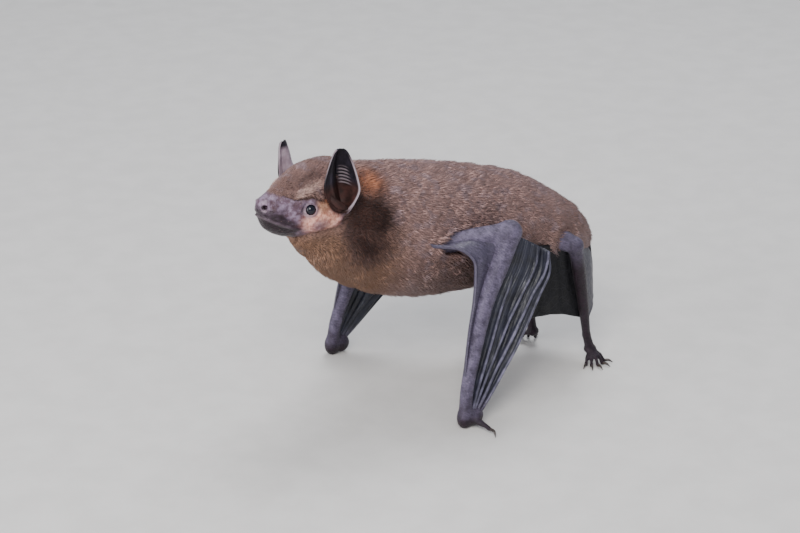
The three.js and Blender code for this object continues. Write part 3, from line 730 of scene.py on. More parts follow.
def dark_coat(p, at, over_stripe):
    """Dark neck, brow line, bridge of the nose, a painted shadow over the stripe, and painted shading on the
    rump's end.
    """
    x, y, z = at[..., 0], at[..., 1], at[..., 2]
    brow_line = np.exp(-((z - np.interp(x, BROW_X, BROW_Z)) / 0.5) ** 2)
    brow_line = brow_line * smoothstep(4.2, 5.4, x) * smoothstep(13.2, 12.2, x)
    return np.maximum.reduce([
        patch(at, [21.8, 10, -6.9], [5.4, 6.5, 7.8], 0.5),
        patch(at, [20.5, 9.5, -2.5], [3.2, 4, 5.5]),
        0.9 * brow_line * smoothstep(1.0, 2.5, y),
        0.25 * patch(at, [8.5, 2.2, 3.6], [3.6, 3.2, 1.5], 0.6),
        # painted shadow: a darker band over the cream stripe
        0.35 * np.exp(-((over_stripe - 1.5) / 0.8) ** 2) * smoothstep(5, 7, x) * smoothstep(14, 12.5, x),
        # painted shading: the rump's end darkened where it turns away from the light
        0.35 * smoothstep(41.5, 46.5, p[..., 0])])


def black_skin(p, at, limb):
    """The black of the jaw, the lips and the nose, and of shins, wrists and feet."""
    x, z = at[..., 0], at[..., 2]
    over_mouth = z - np.interp(x, MOUTH_X, MOUTH_Z)
    jaw = smoothstep(0.3, -0.7, over_mouth) * (1 - smoothstep(6.5, 10.0, x - 0.5 * (z + 6)))
    lip = smoothstep(0, -0.9, over_mouth - np.interp(x, LIP_X, LIP_HEIGHT))
    face = np.maximum.reduce([
        jaw, 0.88 * lip * (1 - smoothstep(4.5, 9.0, x)),
        patch(at, [0.2, 1.7, 0.0], [1.0, 0.85, 0.6], 0.3),
        0.7 * patch(at, [-0.2, 0, -1.2], [1.6, 1.4, 1.4], 0.5),
        0.8 * patch(at, [1.7, 2.3, -1.1], [1.5, 1.0, 0.55], 0.5)])
    height = p[..., 2]
    shin = smoothstep(36, 26, height) * smoothstep(30, 34, p[..., 0] + 0.2 * (36 - height))
    wrist = 0.45 * smoothstep(9, 4, height) + 0.5 * smoothstep(4.0, 1.6, height)
    wrist = wrist * smoothstep(20, 12, p[..., 0])
    return np.maximum.reduce([face * (1 - limb), limb * 0.95 * shin, limb * wrist])


def pale_skin_and_painted_light(at):
    """The pale of the eyelids, less pale above the eye as a painted shadow, the rim below the nostril,
    and painted highlights on the lower lip and above the nostril.
    """
    x, z = at[..., 0], at[..., 2]
    around = np.linalg.norm(at - EYE_PLACE, axis=-1)
    lids = np.exp(-((around - EYE_RADIUS - 0.3) / 0.25) ** 2)
    lower_lip_highlight = np.exp(-((z - np.interp(x, MOUTH_X, MOUTH_Z) + 0.7) / 0.3) ** 2)
    return np.maximum.reduce([
        # pale lids, less pale above the eye: a painted shadow on the upper lid
        lids * (0.25 + 0.65 * smoothstep(0.9, -0.3, z - EYE_PLACE[2])),
        # painted highlight along the lower lip
        0.22 * lower_lip_highlight * smoothstep(7.5, 4.5, x),
        0.6 * patch(at, [0.4, 1.6, -0.85], [0.7, 0.6, 0.25]),
        # painted highlight above the nostril
        0.4 * patch(at, [0.8, 1.2, 1.0], [0.9, 0.8, 0.4])])


def markings(p):
    """Three sets of three masks, and one more. Coat: dark, rust and buff, the dark holding also a painted
    shadow over the brow stripe and painted shading on the rump's end. Bare: how bare, pink and black the
    skin is. Zone: frosting of the back, wing leather, and painted light that turns the lower body's coat
    paler. The one more is where skin and coat are pale: eyelids, less pale above the eye as a painted
    shadow, the rim below the nostril and the brow stripe, with painted highlights on the lower lip and
    above the nostril."""
    q = to_head(p)
    at = folded(q)
    x, y, z = at[..., 0], at[..., 1], at[..., 2]
    off_head = 1 - smoothstep(1.6, 0.2, head_distance(q))
    limb = np.maximum(smoothstep(0.9, 2.3, body_distance(p) + COAT_DEPTH) * off_head, bare_arm(p))
    face = 1 - limb
    hollow = ear_hollow(at, 0.4, 0.15)
    over_stripe = z - np.interp(x, STRIPE_X, STRIPE_Z)
    cream = np.exp(-((over_stripe + 0.2) / (0.28 + 0.07 * np.clip(x - 6, 0, 8))) ** 2)
    cream = 0.9 * cream * smoothstep(6.2, 7.6, x) * smoothstep(15.5, 13.5, x) * smoothstep(2.0, 3.4, y)
    dark = dark_coat(p, at, over_stripe)
    rust = 0.9 * np.maximum(patch(at, [24.8, 7.3, 2.3], [3.0, 5.0, 4.2], 0.5),
                            patch(at, [13.3, 6.8, -1.2], [1.9, 1.8, 1.7], 0.5))
    buff = smoothstep(-7, -17, p[..., 0]) * smoothstep(50, 44, p[..., 2]) * (1 - 0.6 * dark)
    bare = np.maximum.reduce([bare_share(q) * smoothstep(1.5, 0.8, head_distance(q)), limb, hollow])
    pink = patch(at, [12.8, 6.0, -4.9], [4.4, 3.5, 2.9], 0.5)
    pale = pale_skin_and_painted_light(at) * face
    black = np.maximum(black_skin(p, at, limb) * (1 - pale), hollow)
    uneven = 0.12 * wander(p, 5.0, 3)
    frost = np.clip(smoothstep(-18, -6, p[..., 0]) * smoothstep(36, 44, p[..., 2]) + uneven, 0, 1)
    # painted light: the coat's tips turn paler from 40 mm high down to 26, standing in for light the lower
    # body does not get
    painted_underside_light = smoothstep(40, 26, p[..., 2]) * face
    dark = np.maximum(dark * (1 - cream), hollow) * (1 + uneven)
    sets = [np.clip(np.stack(masks, -1), 0, 1)
            for masks in ([dark, rust, buff], [bare, pink * face, black], [frost, limb, painted_underside_light])]
    return *sets, np.clip(np.maximum(pale * bare, cream), 0, 1)


def give_markings(piece, points, along=0.25, tone=0.5):
    """The sets of masks, with Tuft for how far along a tuft a point is, its tone, and pale skin with
    its painted highlights.
    """
    coat, bare, zone, pale = markings(points)
    tuft = np.zeros((len(points), 3))
    tuft[:, 0], tuft[:, 1], tuft[:, 2] = along, tone, pale
    for name, masks in (("Coat", coat), ("Bare", bare), ("Zone", zone), ("Tuft", tuft)):
        give(piece, name, masks)


# ------------------------------------------------------------------ the coat
TUFTS = 132000
TUFTS_TO_A_PIECE = 16500
# a tuft's points: three at the root, three half-way and the tip; how far along it each is
TUFT_FACES = np.array([[0, 1, 2], [0, 3, 4], [0, 4, 1], [1, 4, 5], [1, 5, 2], [2, 5, 3], [2, 3, 0],
                       [3, 6, 4], [4, 6, 5], [5, 6, 3]])
TUFT_ALONG = np.array([0, 0, 0.1, 0.5, 0.5, 0.6, 1.0])
# a tuft's patch on the unwrap of the coat, and the unwrap's first place along the bat and its length
TUFT_UNWRAP = 0.003 * np.array([[-0.5, 0], [0.5, 0], [0, 0.1], [-0.4, 0.5], [0.4, 0.5], [0, 0.6],
                                [0, 1.0]])
UNWRAP_START, UNWRAP_LENGTH, UNWRAP_MARGIN, UNWRAP_SPAN = -44, 95, 0.02, 0.95


def coat_density(p):
    """Tufts to the square millimetre, as a share: close on the head, none where the skin is bare."""
    q = to_head(p)
    at = folded(q)
    limb = smoothstep(1.0, 2.4, np.minimum(body_distance(p) + COAT_DEPTH, head_distance(q) + 1.4))
    clear = smoothstep(2.2, 2.9, np.linalg.norm(at - EYE_PLACE, axis=-1))
    clear = clear * (1 - ear_hollow(at, 0.3, 0.05)) * (1 - bare_arm(p))
    cover = (1 - 0.99 * smoothstep(0.15, 0.8, bare_share(q))) * smoothstep(1.8, 3.6, q[..., 0])
    belly = smoothstep(30, 26, p[..., 2])
    return (1 - limb) * clear * cover * (1 + 0.9 * head_share(p)) * (1 - 0.35 * belly)


def coat_lie(p):
    """The way the coat lies: back and a little down, and straight down on the throat and chest."""
    y = to_head(p)[..., 1]
    flat = np.zeros(p.shape[:-1])
    share = head_share(p)[..., None]
    chest = smoothstep(-10, -22, p[..., 0]) * smoothstep(51, 43, p[..., 2])
    chest = chest[..., None] * (1 - share * 0.8)
    side = smoothstep(3, 11, np.abs(p[..., 1]))
    back = np.stack([flat + 1, 0.10 * wander(p, 9, 11), -0.12 - 0.45 * side], -1)
    down = np.stack([flat + 0.42, 0.15 * wander(p, 6, 13), flat - 1], -1)
    head = HEAD_AXES[0] + np.stack([flat, 0.12 * np.sign(y), -0.05 - 0.03 * np.abs(y)], -1)
    return (back * (1 - chest) + down * chest) * (1 - share) + head * share


def scatter_roots(points, faces, normals):
    """Places spread over the skin by the coat's density, and the skin's facing there."""
    corner = np.vstack([faces[:, [0, 1, 2]], faces[:, [0, 2, 3]]])
    a, b, c = (points[corner[:, k]] for k in range(3))
    area = np.linalg.norm(np.cross(b - a, c - a), axis=1) / 2
    middle = (a + b + c) / 3
    order = np.lexsort((middle[:, 2] // 2, middle[:, 0] // 3))
    corner, middle, area = corner[order], middle[order], area[order]
    total = np.cumsum(area * coat_density(middle))
    pick = np.searchsorted(total, (np.arange(TUFTS) + RNG.random(TUFTS)) / TUFTS * total[-1])
    pick = np.minimum(pick, len(corner) - 1)
    u, v = RNG.random((2, TUFTS))
    over = u + v > 1
    u[over], v[over] = 1 - u[over], 1 - v[over]
    weight = np.stack([1 - u - v, u, v], 1)[..., None]
    root = (points[corner[pick]] * weight).sum(1)
    up = (normals[corner[pick]] * weight).sum(1)
    return root, up / np.linalg.norm(up, axis=1, keepdims=True)


def shape_tufts(root, up):
    """Seven points to a tuft: a three-cornered root just under the skin, a second three-cornered
    ring half-way, and a tip, each part leaning closer to the skin than the last."""
    lock = np.stack([wander(root, 2.2, 21 + k) for k in range(3)], 1)
    lie = coat_lie(root) + 0.17 * lock + 0.11 * RNG.normal(size=(TUFTS, 3))
    lie -= up * (lie * up).sum(1, keepdims=True)
    lie /= np.linalg.norm(lie, axis=1, keepdims=True) + 1e-9
    depth = np.clip(coat_depth(root), 0.06, 3)
    uneven = 1 + 0.13 * wander(root, 3.0, 31) + 0.13 * RNG.normal(size=TUFTS)
    rise = depth * np.clip(uneven, 0.55, 1.3)
    length = 0.15 + 0.2 * smoothstep(0.1, 0.6, depth) + 1.75 * rise + 0.25 * RNG.random(TUFTS)
    lean = np.arcsin(np.clip(rise / length, 0.1, 0.8))[:, None]
    width = (0.055 + 0.08 * np.minimum(depth / COAT_DEPTH, 1)) * RNG.uniform(0.75, 1.25, TUFTS)
    width = width[:, None]
    across = np.cross(up, lie)
    first, second = lean * 1.35, lean * 0.55
    half = length[:, None] / 2
    mid = root + half * (lie * np.cos(first) + up * np.sin(first))
    tip = mid + half * (lie * np.cos(second) + up * np.sin(second))
    base = root - up * 0.12
    return np.stack([base - across * width, base + across * width, base + up * width * 0.9,
                     mid - across * width * 0.8, mid + across * width * 0.8, mid + up * width * 0.7,
                     tip], 1)


def coat_unwrap(root):
    """A tuft's place on the unwrap: along the bat, and the turn round the trunk's middle."""
    y, z = (smooth_table(root[:, 0], BODY[:, 0], BODY[:, k]) for k in (1, 2))
    turn = np.arctan2(root[:, 1] - y, root[:, 2] - z) / (2 * np.pi) + 0.5
    return UNWRAP_MARGIN + UNWRAP_SPAN * np.stack([(root[:, 0] - UNWRAP_START) / UNWRAP_LENGTH, turn], 1)


def grow_coat(points, faces, normals, look):
    """The tufts, shared out from nose to rump over pieces of ten faces a tuft."""
    root, up = scatter_roots(points, faces, normals)
    tufts = shape_tufts(root, up)
    place = coat_unwrap(root)
    tone = np.clip(0.5 + 0.17 * RNG.normal(size=TUFTS) + 0.15 * wander(root, 1.6, 41), 0, 1)
    order = np.argsort(root[:, 0])
    corners = len(TUFT_ALONG)
    for number in range(int(np.ceil(TUFTS / TUFTS_TO_A_PIECE))):
        rows = order[number * TUFTS_TO_A_PIECE:(number + 1) * TUFTS_TO_A_PIECE]
        count = len(rows)
        tuft_faces = (TUFT_FACES + corners * np.arange(count)[:, None, None]).reshape(-1, 3)
        piece = make_piece(f"coat_{number + 1}", tufts[rows].reshape(-1, 3), tuft_faces, look)
        give_markings(piece, np.repeat(root[rows], corners, axis=0), np.tile(TUFT_ALONG, count),
                      np.repeat(tone[rows], corners))
        unwrap = piece.data.uv_layers.new(name="OFBake")
        uv = (place[rows][:, None] + TUFT_UNWRAP).reshape(-1, 2)[tuft_faces.ravel()]
        unwrap.data.foreach_set("uv", uv.astype(np.float32).ravel())


# ------------------------------------------------------------------ thin skins
# each finger's place across the folded hand at the wrist and at the knuckles, its radius and its reach
FINGERS = [(0.34, 0.35, 0.24, 0.72), (0.44, 0.75, 0.22, 0.92), (0.67, 0.97, 0.3, 1.0),
           (1.0, 1.04, 0.26, 0.9)]
FINGER_RISE = 0.75
HAND_BEYOND = 1.06        # how far the folded hand goes, as a share of the way to its rear edge
EAR_RIB_STEP = 0.041      # from rib to rib, as a share of the ear's height


def rows_by(number):
    return number


def pushed(points, x, y):
    """Points moved by x and y."""
    return points + np.stack([x, y, 0 * x], -1)


def between(front, rear, s):
    """The straight line from a front point at s of -1 to a rear one at 1."""
    return front + (rear - front) * ((1 + s) / 2)[..., None]


def finger_lines(t, share, wide):
    """How far a place on the folded hand is from each finger, with its radius and its reach."""
    for low, high, radius, reach in FINGERS:
        yield (share - (low + (high - low) * t)) * wide, radius, reach


def hand_width(t):
    """The folded hand's width at t, roughly."""
    return 3.5 + 21 * t


def hand_wing(side):
    """The folded hand: a sheet from the forearm to its rear edge, drawn out into a ridge over each
    finger, pleated between them, and fluted along the pleats."""
    def surface(t, s):
        front, rear = smooth_line(FOREARM[::-1], t), smooth_line(HAND_REAR, t)
        share = (1 + s) / 2 * HAND_BEYOND
        wide = np.linalg.norm(rear - front, axis=-1)
        rise = np.zeros_like(s)
        for across, radius, reach in finger_lines(t, share, wide):
            ridge = np.exp(-np.abs(across / (radius * 1.3)) ** 1.5)
            rise = np.maximum(rise, FINGER_RISE * ridge * smoothstep(reach + 0.07, reach - 0.03, t))
        groove = np.exp(-((share - 0.56 - 0.3 * t) * wide / 0.8) ** 2) * smoothstep(0.1, 0.4, t)
        pleat = np.cos(2 * np.pi * 3.3 * s + 2.5 * t) * smoothstep(0.05, 0.4, t)
        flute = np.cos(2 * np.pi * 14 * s + 2.5 * np.sin(4 * t)) * smoothstep(0.1, 0.5, t)
        lift = (rise - 0.6 * groove + 0.14 * pleat + 0.045 * flute) * smoothstep(-1, -0.8, s)
        return arm_side(pushed(front + (rear - front) * share[..., None], 0 * s, -lift), side)

    def thick(t, s):
        body = 0.2 + 0 * s
        for across, radius, _ in finger_lines(t, (1 + s) / 2 * HAND_BEYOND, hand_width(t)):
            body = np.maximum(body, 0.2 + (radius - 0.1) * np.exp(-(across / radius) ** 2))
        body = body * round_edge(t, s, 0.015, 0.035)
        return body * 0.8, body
    return sheet_points(surface, thick, rows_by(110), rows_by(170), [0, OUTWARD[side], 0])


def arm_web(side):
    """The fore-wing skin: from the elbow's hollow to its rolled free edge."""
    def surface(t, s):
        crease = 0.12 * np.sin(9 * t + 6 * s) * (1 - s * s)
        web = between(smooth_line(ARM_EDGE, t), smooth_line(ARM_ROOT, t), s)
        return arm_side(pushed(web, 0 * s, -crease), side)

    def thick(t, s):
        rim = 0.24 + 0.22 * np.exp(-((s + 0.93) / 0.07) ** 2) + 0.3 * smoothstep(0.6, 1, s)
        rim = rim * round_edge(t, s, 0.03, 0.05)
        return rim, rim
    return sheet_points(surface, thick, rows_by(120), rows_by(60), [0, OUTWARD[side], 0])


def side_web(side):
    """The wing skin drawn in behind the folded hand, from the forearm to the leg, its foot arched."""
    def surface(t, s):
        height = t * (1 - 0.2 * (1 - s * s))
        front = arm_side(smooth_line(SIDE_FRONT, height), side)
        rear = leg_side(smooth_line(SIDE_REAR, height), side)
        sag = (1.6 + 0.25 * np.sin(7 * s + 3 * t)) * (1 - s * s) + 0.12 * np.sin(19 * s - 4 * t)
        return pushed(between(front, rear, s), 0 * s, -OUTWARD[side] * sag)

    def thick(t, s):
        body = WEB_THICK / 2 + 0.12 * smoothstep(0.9, 1, t) + 0.25 * smoothstep(0.25, 0, t)
        body = body * round_edge(t, s, 0.03, 0.04)
        return body, body
    return sheet_points(surface, thick, rows_by(80), rows_by(90), [0, OUTWARD[side], 0])


def tail_web():
    """The skin between the shins, bulging back over the tail, with a scalloped lower rim."""
    def surface(t, s):
        side = smooth_line(TAIL_WEB_SIDE, t)
        middle = smooth_line(TAIL_WEB_MIDDLE, t)
        lag = np.where(s > 0, leg_lag(side[..., 2]) * s, 0)
        flute = 0.16 * np.sin(17 * s) * smoothstep(0.1, 0.6, t) * (1 - s * s)
        bulge = (1 - s * s)[..., None] * (middle - side * [1, 0, 1])
        web = np.stack([side[..., 0], -side[..., 1] * s, side[..., 2]], -1) + bulge
        return pushed(web, lag + flute, 0 * s)

    def thick(t, s):
        body = WEB_THICK / 2 + 0.14 * np.exp(-((t - 0.96) / 0.03) ** 2) + 0.25 * smoothstep(0.25, 0, t)
        body = body * round_edge(t, s, 0.03, 0.02)
        return body, body
    return sheet_points(surface, thick, rows_by(70), rows_by(90), [1, 0, 0])


def behind_fold(t, s):
    """The place of the ear's front fold at t, and how far behind it s is, from 0 to 1."""
    fold = smooth_line(EAR_FOLD, t)[..., 0]
    return fold, np.clip((s - fold) / (1 - fold), 0, 1)


def ear_ribs(t, v):
    """Narrow crests across the hollow's rear part, arched upward."""
    wave = (0.5 + 0.5 * np.cos(2 * np.pi * (t - 0.055 * np.cos(3.0 * (v - 0.5))) / EAR_RIB_STEP)) ** 4
    return (wave * smoothstep(0.32, 0.46, v) * smoothstep(0.84, 0.66, v)
            * smoothstep(0.38, 0.43, t) * smoothstep(0.66, 0.58, t))


def ear(side):
    """An ear: a leaf between its two margins, its front strip folded outward, hollow behind the
    fold, ribbed across the hollow, with a thin rim and a thick root."""
    out = OUTWARD[side]

    def surface(t, s):
        front, back = smooth_line(EAR_FRONT, t), smooth_line(EAR_BACK, t)
        depth = smooth_line(EAR_DEPTH, t)
        if side == "right":
            lean = RIGHT_EAR_LEAN * (t * t)[..., None]
            front = front + lean + RIGHT_EAR_BOW * np.sin(np.pi * t)[..., None]
            back = back + lean + RIGHT_EAR_TURN * smooth_line(RIGHT_EAR_TURNED, t)
            depth = depth * (1 - 0.55 * smoothstep(0.15, 0.6, t))[..., None]
        fold, v = behind_fold(t, s)
        strip = 0.14 * smoothstep(-1, fold, s) - 0.06 * np.exp(-((s - fold) / 0.07) ** 2)
        hollow = strip + 0.86 * smoothstep(0.0, 0.34, v)
        bowl = (hollow * (1 - v ** 3.2))[..., None]
        rib = -0.24 * ear_ribs(t, v)[..., None]
        leaf = between(front, back, s) + EAR_INWARD * (depth * bowl + rib)
        return from_head(leaf * [1, out, 1])

    def thick(t, s):
        rim = 0.14 + 0.10 * np.exp(-((np.abs(s) - 0.94) / 0.05) ** 2) + 0.5 * smoothstep(0.3, 0, t)
        rim = rim * round_edge(t, s, 0.02, 0.05)
        return rim, rim
    return sheet_points(surface, thick, rows_by(180), rows_by(90), [0, out, 0])


# ------------------------------------------------------------------ materials
def hue(red, green, blue):
    """A screen colour of 0 to 255 as the linear light that shaders take."""
    c = np.array([red, green, blue]) / 255.0
    return (*np.where(c <= 0.04045, c / 12.92, ((c + 0.055) / 1.055) ** 2.4), 1.0)


class Wiring:
    """Short words for placing and joining nodes in one tree; a value may be a number or a socket."""

    def __init__(self, tree):
        self.tree = tree
    def put(self, socket, value):
        """Sets a socket's number or colour, or links another node's socket to it."""
        if isinstance(value, bpy.types.NodeSocket):
            self.tree.links.new(value, socket)
        else:
            socket.default_value = value

    def node(self, kind, inputs=None, **settings):
        """A node with its settings and inputs given."""
        node = self.tree.nodes.new(kind)
        for name, value in settings.items():
            setattr(node, name, value)
        for key, value in (inputs or {}).items():
            self.put(node.inputs[key], value)
        return node

    def math(self, operation, a, b, clamp=False):
        return self.node("ShaderNodeMath", {0: a, 1: b}, operation=operation, use_clamp=clamp).outputs[0]

    def plus(self, a, b, clamp=False):
        return self.math("ADD", a, b, clamp)

    def times(self, a, b):
        return self.math("MULTIPLY", a, b)

    def rest(self, a):
        """What is left of one."""
        return self.math("SUBTRACT", 1.0, a)

    def mix(self, share, a, b):
        """From one colour, at a share of 0, to another at 1."""
        return self.node("ShaderNodeMix", {0: share, 6: a, 7: b}, data_type="RGBA").outputs[2]

    def ease(self, value, low, high, out_low=0.0, out_high=1.0):
        """A smooth step from low to high, between two numbers."""
        node = self.node("ShaderNodeMapRange", {0: value, 1: low, 2: high, 3: out_low, 4: out_high},
                         interpolation_type="SMOOTHSTEP")
        return node.outputs[0]

    def mottled(self, noise, dark, pale, low=0.3, high=0.7):
        """From one colour to another as a noise goes from low to high."""
        return self.mix(self.ease(noise, low, high), dark, pale)

    def masks(self, name):
        """The three masks of one of the piece's attributes."""
        colour = self.node("ShaderNodeAttribute", attribute_name=name, attribute_type="GEOMETRY")
        split = self.node("ShaderNodeSeparateColor", {0: colour.outputs[0]})
        return split.outputs[0], split.outputs[1], split.outputs[2]

    def stretched(self, at, stretch):
        """Places multiplied along each axis."""
        return self.node("ShaderNodeMapping", {"Vector": at, "Scale": stretch}).outputs[0]

    def place(self, stretch=(1, 1, 1)):
        """The place on the piece, in metres."""
        return self.stretched(self.node("ShaderNodeTexCoord").outputs["Object"], stretch)

    def slanted(self, at, turn, stretch):
        """Places turned about Y and drawn out, for bands that run aslant."""
        return self.node("ShaderNodeMapping", {"Vector": at, "Rotation": (0, turn, 0), "Scale": stretch},
                         vector_type="TEXTURE").outputs[0]

    def noise(self, at, size_mm, detail=3.0, rough=0.55):
        """Cloudy noise with patches of about the given size."""
        return self.node("ShaderNodeTexNoise", {"Vector": at, "Scale": 1000.0 / size_mm, "Detail": detail,
                                                "Roughness": rough}).outputs[0]

    def cells(self, at, size_mm):
        """The distance to the nearest border between cells of about the given size."""
        return self.node("ShaderNodeTexVoronoi", {"Vector": at, "Scale": 1000.0 / size_mm},
                         feature="DISTANCE_TO_EDGE").outputs[0]


def shared(name, outputs, build):
    """A group with no inputs that other materials take colours, masks or heights from."""
    tree = bpy.data.node_groups.new(name, "ShaderNodeTree")
    for label, kind in outputs:
        tree.interface.new_socket(name=label, in_out="OUTPUT", socket_type=kind)
    wiring = Wiring(tree)
    end = tree.nodes.new("NodeGroupOutput")
    for label, value in build(wiring).items():
        wiring.put(end.inputs[label], value)
    return tree


def material(name, **fixed):
    """A material with one Principled shader; fixed values go on its own sockets."""
    made = bpy.data.materials.new(name)
    made.use_nodes = True
    wiring = Wiring(made.node_tree)
    shader = made.node_tree.nodes["Principled BSDF"]
    for label, value in fixed.items():
        shader.inputs[label.replace("_", " ")].default_value = value
    return made, wiring, shader


def finish(w, shader, colour, roughness, height, strength, depth_mm):
    """Joins a finish's colour, roughness and relief to its shader."""
    w.put(shader.inputs["Base Color"], colour)
    w.put(shader.inputs["Roughness"], roughness)
    relief = w.node("ShaderNodeBump", {"Height": height, "Strength": strength, "Distance": depth_mm * MM})
    w.put(shader.inputs["Normal"], relief.outputs[0])


BACK, BACK_ROOT = hue(158, 125, 117), hue(66, 45, 41)
FROST, RUST = hue(186, 150, 143), hue(180, 114, 78)
DARK, DARK_TIP = hue(24, 11, 7), hue(54, 26, 17)
CREAM = hue(216, 180, 168)
BUFF, BUFF_ROOT = hue(154, 117, 94), hue(62, 45, 37)
# painted light: the paler tip colour of the lower body's coat
PAINTED_UNDERSIDE_LIGHT = hue(190, 164, 158)


def coat_colours(w):
    """Root to tip, by zone: frosted back, rust behind the ears, dark neck and brow, buff throat."""
    dark, rust, buff = w.masks("Coat")
    frost, _, painted_underside_light = w.masks("Zone")
    along, tone, cream = w.masks("Tuft")
    at = w.place()
    tip = w.mix(frost, BACK, FROST)
    tip = w.mix(w.ease(w.noise(at, 2.6, 3.0), 0.5, 0.64, 0.0, 0.5), tip, hue(176, 154, 162))
    # painted light: tips on the lower body mixed towards a paler colour
    tip = w.mix(w.times(painted_underside_light, 0.7), tip, PAINTED_UNDERSIDE_LIGHT)
    for mask, colour in ((buff, BUFF), (rust, RUST), (dark, DARK_TIP), (cream, CREAM)):
        tip = w.mix(mask, tip, colour)
    root = w.mix(buff, BACK_ROOT, BUFF_ROOT)
    root = w.mix(dark, root, DARK)
    root = w.mix(w.times(cream, 0.6), root, CREAM)
    paler = w.plus(w.ease(along, 0.0, 0.85), w.ease(tone, 0.0, 1.0, -0.28, 0.22))
    paler = w.plus(paler, w.ease(w.noise(at, 4.0, 2.0), 0.3, 0.7, -0.14, 0.1), clamp=True)
    grey = w.times(w.ease(tone, 0.72, 1.0, 0.0, 0.2), w.rest(dark))
    return {"Colour": w.mix(grey, w.mix(paler, root, tip), hue(184, 160, 154))}


def coat_group_colour(w, tree):
    """The shared coat colours, placed in a material."""
    return w.node("ShaderNodeGroup", node_tree=tree).outputs["Colour"]


def fur_look(coat):
    """Dry fur: the coat's colours, a fine streak along the bat, and a little sheen."""
    look, w, shader = material("fur", Specular_IOR_Level=0.2, Sheen_Weight=0.12, Sheen_Roughness=0.45,
                               Sheen_Tint=hue(214, 204, 206))
    streak = w.noise(w.place((1, 3, 3)), 0.5, 2.0)
    finish(w, shader, coat_group_colour(w, coat), w.ease(streak, 0.3, 0.7, 0.52, 0.72), streak, 0.25, 0.04)
    return look


def skin_look(coat):
    """Lilac muzzle, flesh round the eye, black lips, slate limbs, and coat colours elsewhere."""
    look, w, shader = material("skin", Specular_IOR_Level=0.28, Sheen_Weight=0.04, Sheen_Roughness=0.5)
    bare, pink, black = w.masks("Bare")
    _, rust, _ = w.masks("Coat")
    _, limb, _ = w.masks("Zone")
    _, _, pale = w.masks("Tuft")
    at = w.place()
    mottle = w.noise(at, 2.2, 4.0)
    blotch = w.noise(at, 0.9, 4.0, 0.6)
    slant = w.noise(w.slanted(at, 0.55, (1.3, 1.3, 0.36)), 0.7, 4.0, 0.6)
    leather = w.mottled(mottle, hue(66, 59, 77), hue(100, 92, 115))
    leather = w.mix(w.ease(blotch, 0.5, 0.34, 0.0, 0.4), leather, hue(46, 41, 55))
    leather = w.mix(w.ease(slant, 0.5, 0.36, 0.0, 0.5), leather, hue(44, 37, 52))
    leather = w.mix(w.ease(slant, 0.56, 0.68, 0.0, 0.35), leather, hue(136, 126, 152))
    face = w.mottled(mottle, hue(64, 46, 58), hue(140, 121, 143))
    face = w.mix(w.ease(blotch, 0.57, 0.39, 0.0, 0.65), face, hue(66, 38, 44))
    face = w.mix(pink, face, w.mottled(blotch, hue(174, 112, 94), hue(234, 174, 152), 0.35, 0.65))
    face = w.mix(w.times(rust, 0.85), face,
                 w.mottled(blotch, hue(126, 86, 62), hue(176, 130, 96), 0.35, 0.65))
    face = w.mix(limb, face, leather)
    face = w.mix(black, face, w.mottled(blotch, hue(15, 3, 11), hue(30, 10, 23), 0.35, 0.65))
    # pale skin: lids and the rim below the nostril, with painted highlights on the lower lip and above the
    # nostril
    face = w.mix(w.times(pale, 0.8), face, hue(150, 132, 142))
    bend = w.node("ShaderNodeTexNoise", {"Vector": at, "Scale": 700.0, "Detail": 2.0}).outputs[1]
    bend = w.node("ShaderNodeVectorMath", {0: bend, 1: (1.4 * MM,) * 3}, operation="MULTIPLY").outputs[0]
    bent = w.node("ShaderNodeVectorMath", {0: at, 1: bend}, operation="ADD").outputs[0]
    folds = w.noise(w.stretched(bent, (0.8, 0.8, 2.0)), 1.1, 4.0, 0.55)
    streaks = w.noise(w.place((2.2, 2.2, 0.7)), 0.8, 5.0, 0.65)
    cells = w.ease(w.cells(bent, 0.75), 0.0, 0.2)
    face_height = w.plus(w.times(folds, 1.3), w.times(cells, 0.22))
    limb_height = w.plus(w.times(streaks, 0.8), w.times(slant, 1.3))
    height = w.plus(w.times(limb_height, limb), w.times(face_height, w.rest(limb)))
    height = w.plus(height, w.times(w.noise(at, 0.28, 3.0, 0.6), 0.3))
    roughness = w.plus(w.ease(blotch, 0.3, 0.7, 0.3, 0.46), w.ease(limb, 0.0, 1.0, 0.0, 0.07))
    finish(w, shader, w.mix(bare, coat_group_colour(w, coat), face), roughness, height, 0.8, 0.24)
    return look


